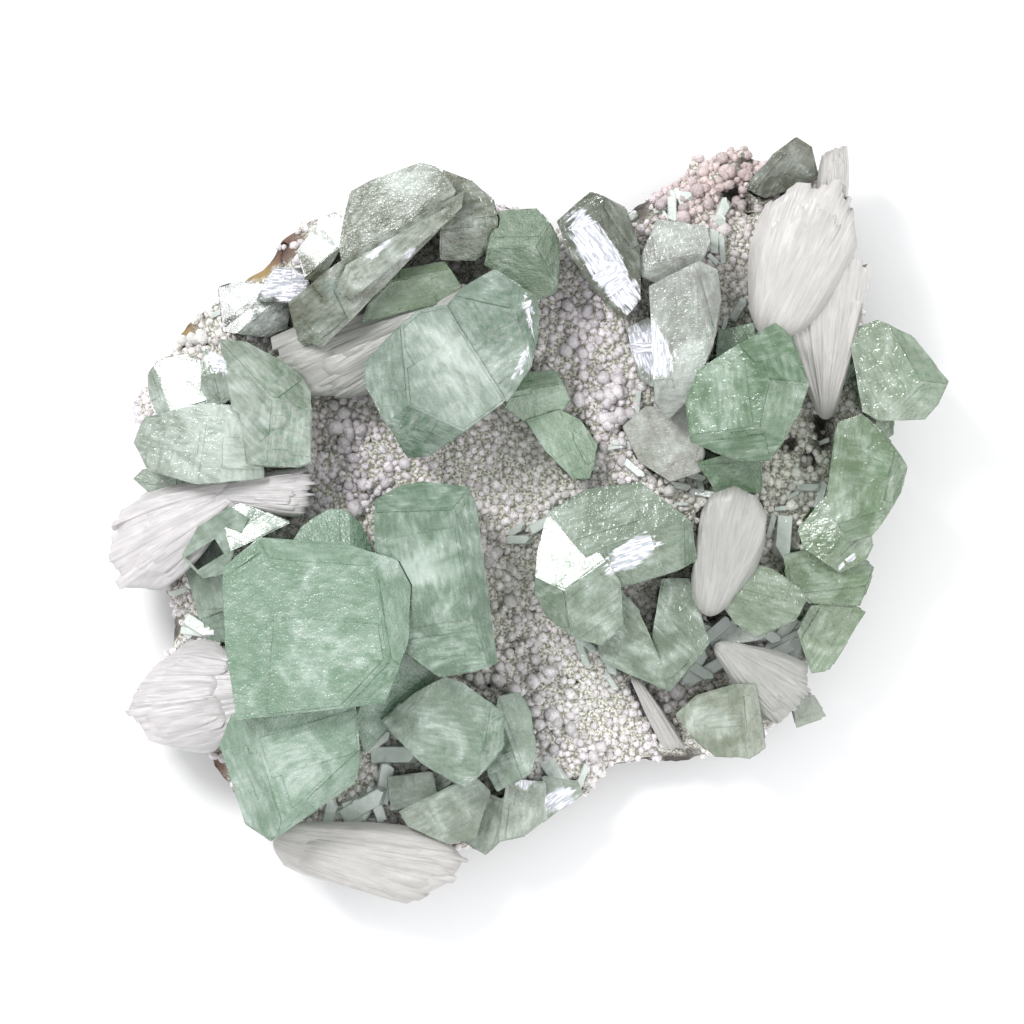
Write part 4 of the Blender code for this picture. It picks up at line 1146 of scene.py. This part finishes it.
# Stilbite lobes: silk, how ragged the tips are, how many raised blades a lobe has, and for each
# lobe its root line, tips, heights and depths at root and tips, and crown.
CREAM_SILK, WHITE_SILK, GREY_SILK = "cream_silk", "white_silk", "grey_silk"
SILKS = {
    CREAM_SILK: ("cream_stilbite", (0.61, 0.59, 0.565), (0.52, 0.505, 0.48)),
    WHITE_SILK: ("white_stilbite", (0.72, 0.685, 0.69), (0.58, 0.56, 0.56)),
    GREY_SILK: ("cream_stilbite", (0.47, 0.47, 0.44), (0.38, 0.38, 0.355)),
}
SHEAVES = {
    "upper_fan": (GREY_SILK, 0.06, 7, [
        ([(-10, 35.5), (-12, 42.5)], [(-25.5, 23), (-32.5, 22), (-40, 22.5), (-45.5, 28), (-46.5, 33)],
         (35, 29.5), (14, 8), 1.2),
    ]),
    "left_bow_tie": (WHITE_SILK, 0.12, 9, [
        ([(-52, 7.5), (-53, 2)],
         [(-68.5, 5.5), (-73.5, 2), (-75.5, -3), (-75, -7.5), (-72.5, -12), (-65.5, -12.5), (-62, -7.5)],
         (28.5, 23.5), (10, 8), 1.6),
        ([(-54, 3), (-54, 7)], [(-41, 0.5), (-39, 5), (-40, 9.5)], (28.5, 30.5), (10, 8), 1.2),
    ]),
    "bottom_fan": (CREAM_SILK, 0.07, 8, [
        ([(-42, -54.5), (-44, -62.5)],
         [(-16, -56.5), (-11.5, -61.5), (-14.5, -65.5), (-22, -69.5), (-32.5, -66)],
         (26.5, 21), (10, 7), 1.5),
    ]),
    "lower_left_fan": (WHITE_SILK, 0.08, 8, [
        ([(-54.5, -39.5), (-53.5, -24.5)],
         [(-61, -42), (-69, -40), (-72.5, -34), (-69.5, -28.5), (-62, -22)],
         (25.5, 21), (9, 7), 1.6),
    ]),
    "bow_tie": (CREAM_SILK, 0.1, 9, [
        ([(50, 34.5), (39.5, 38)], [(59, 49), (58, 57), (55.5, 60), (48, 60.5), (42, 56.5)],
         (34.5, 36.5), (16, 14), 1.6),
        ([(52, 19.5), (55.5, 19.5)], [(44, 39.5), (49, 45), (57, 47.5), (61.5, 45.5), (60, 40)],
         (27.5, 34.5), (10, 14), 1.4),
        ([(52, 59), (57.5, 58)], [(53, 66), (55, 67), (57.5, 67.5)], (29.5, 28.5), (14, 14), 0.8),
    ]),
    "capsule": (GREY_SILK, 0.02, 0, [
        ([(29.5, -14), (36, -15.5)],
         [(30.5, -4.5), (31, 1.5), (33, 5), (37, 6), (41, 4.5), (43, 1), (42.5, -4.5)],
         (29.5, 30), (14, 14), 1.4),
    ]),
    "grey_fan": (GREY_SILK, 0.1, 7, [
        ([(37.5, -22), (33.5, -24)],
         [(50.5, -26), (50.5, -29.5), (49.5, -33.5), (45.5, -36.5), (42.5, -36)],
         (27.5, 23.5), (10, 8), 1.2),
    ]),
    "thin_blade": (CREAM_SILK, 0.03, 0, [
        ([(18.5, -29), (20, -28.5)], [(24.5, -41.5), (28.5, -41)], (23, 21), (8, 6), 0.8),
    ]),
}


def build():
    """Every piece of the specimen, then the studio."""
    for short, (colour, cloud, frost, clear, slot, spots) in CRYSTALS.items():
        material = apophyllite(short + "_glass", colour, cloud, frost, clear)
        crystals("apophyllite_" + short, material, slot, spots)
    silks = {name: stilbite(name, *colours) for name, (_, *colours) in SILKS.items()}
    for short, (silk, ragged, blades, lobes) in SHEAVES.items():
        sheaf("stilbite_" + short, silks[silk], SILKS[silk][0], ragged, blades, lobes)
    tree = search_tree([item for name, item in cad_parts.items() if name != "matrix"])
    plate = rough_plate(rock_material(), tree)
    druse(plate, bead_material("druse_bead", 1.0), tree)
    bits = apophyllite("splinter_glass", (0.95, 1.0, 0.96), 1.0, 0.22, 0.3)
    splinters(plate, bits, PALE, tree)
    studio()


build()
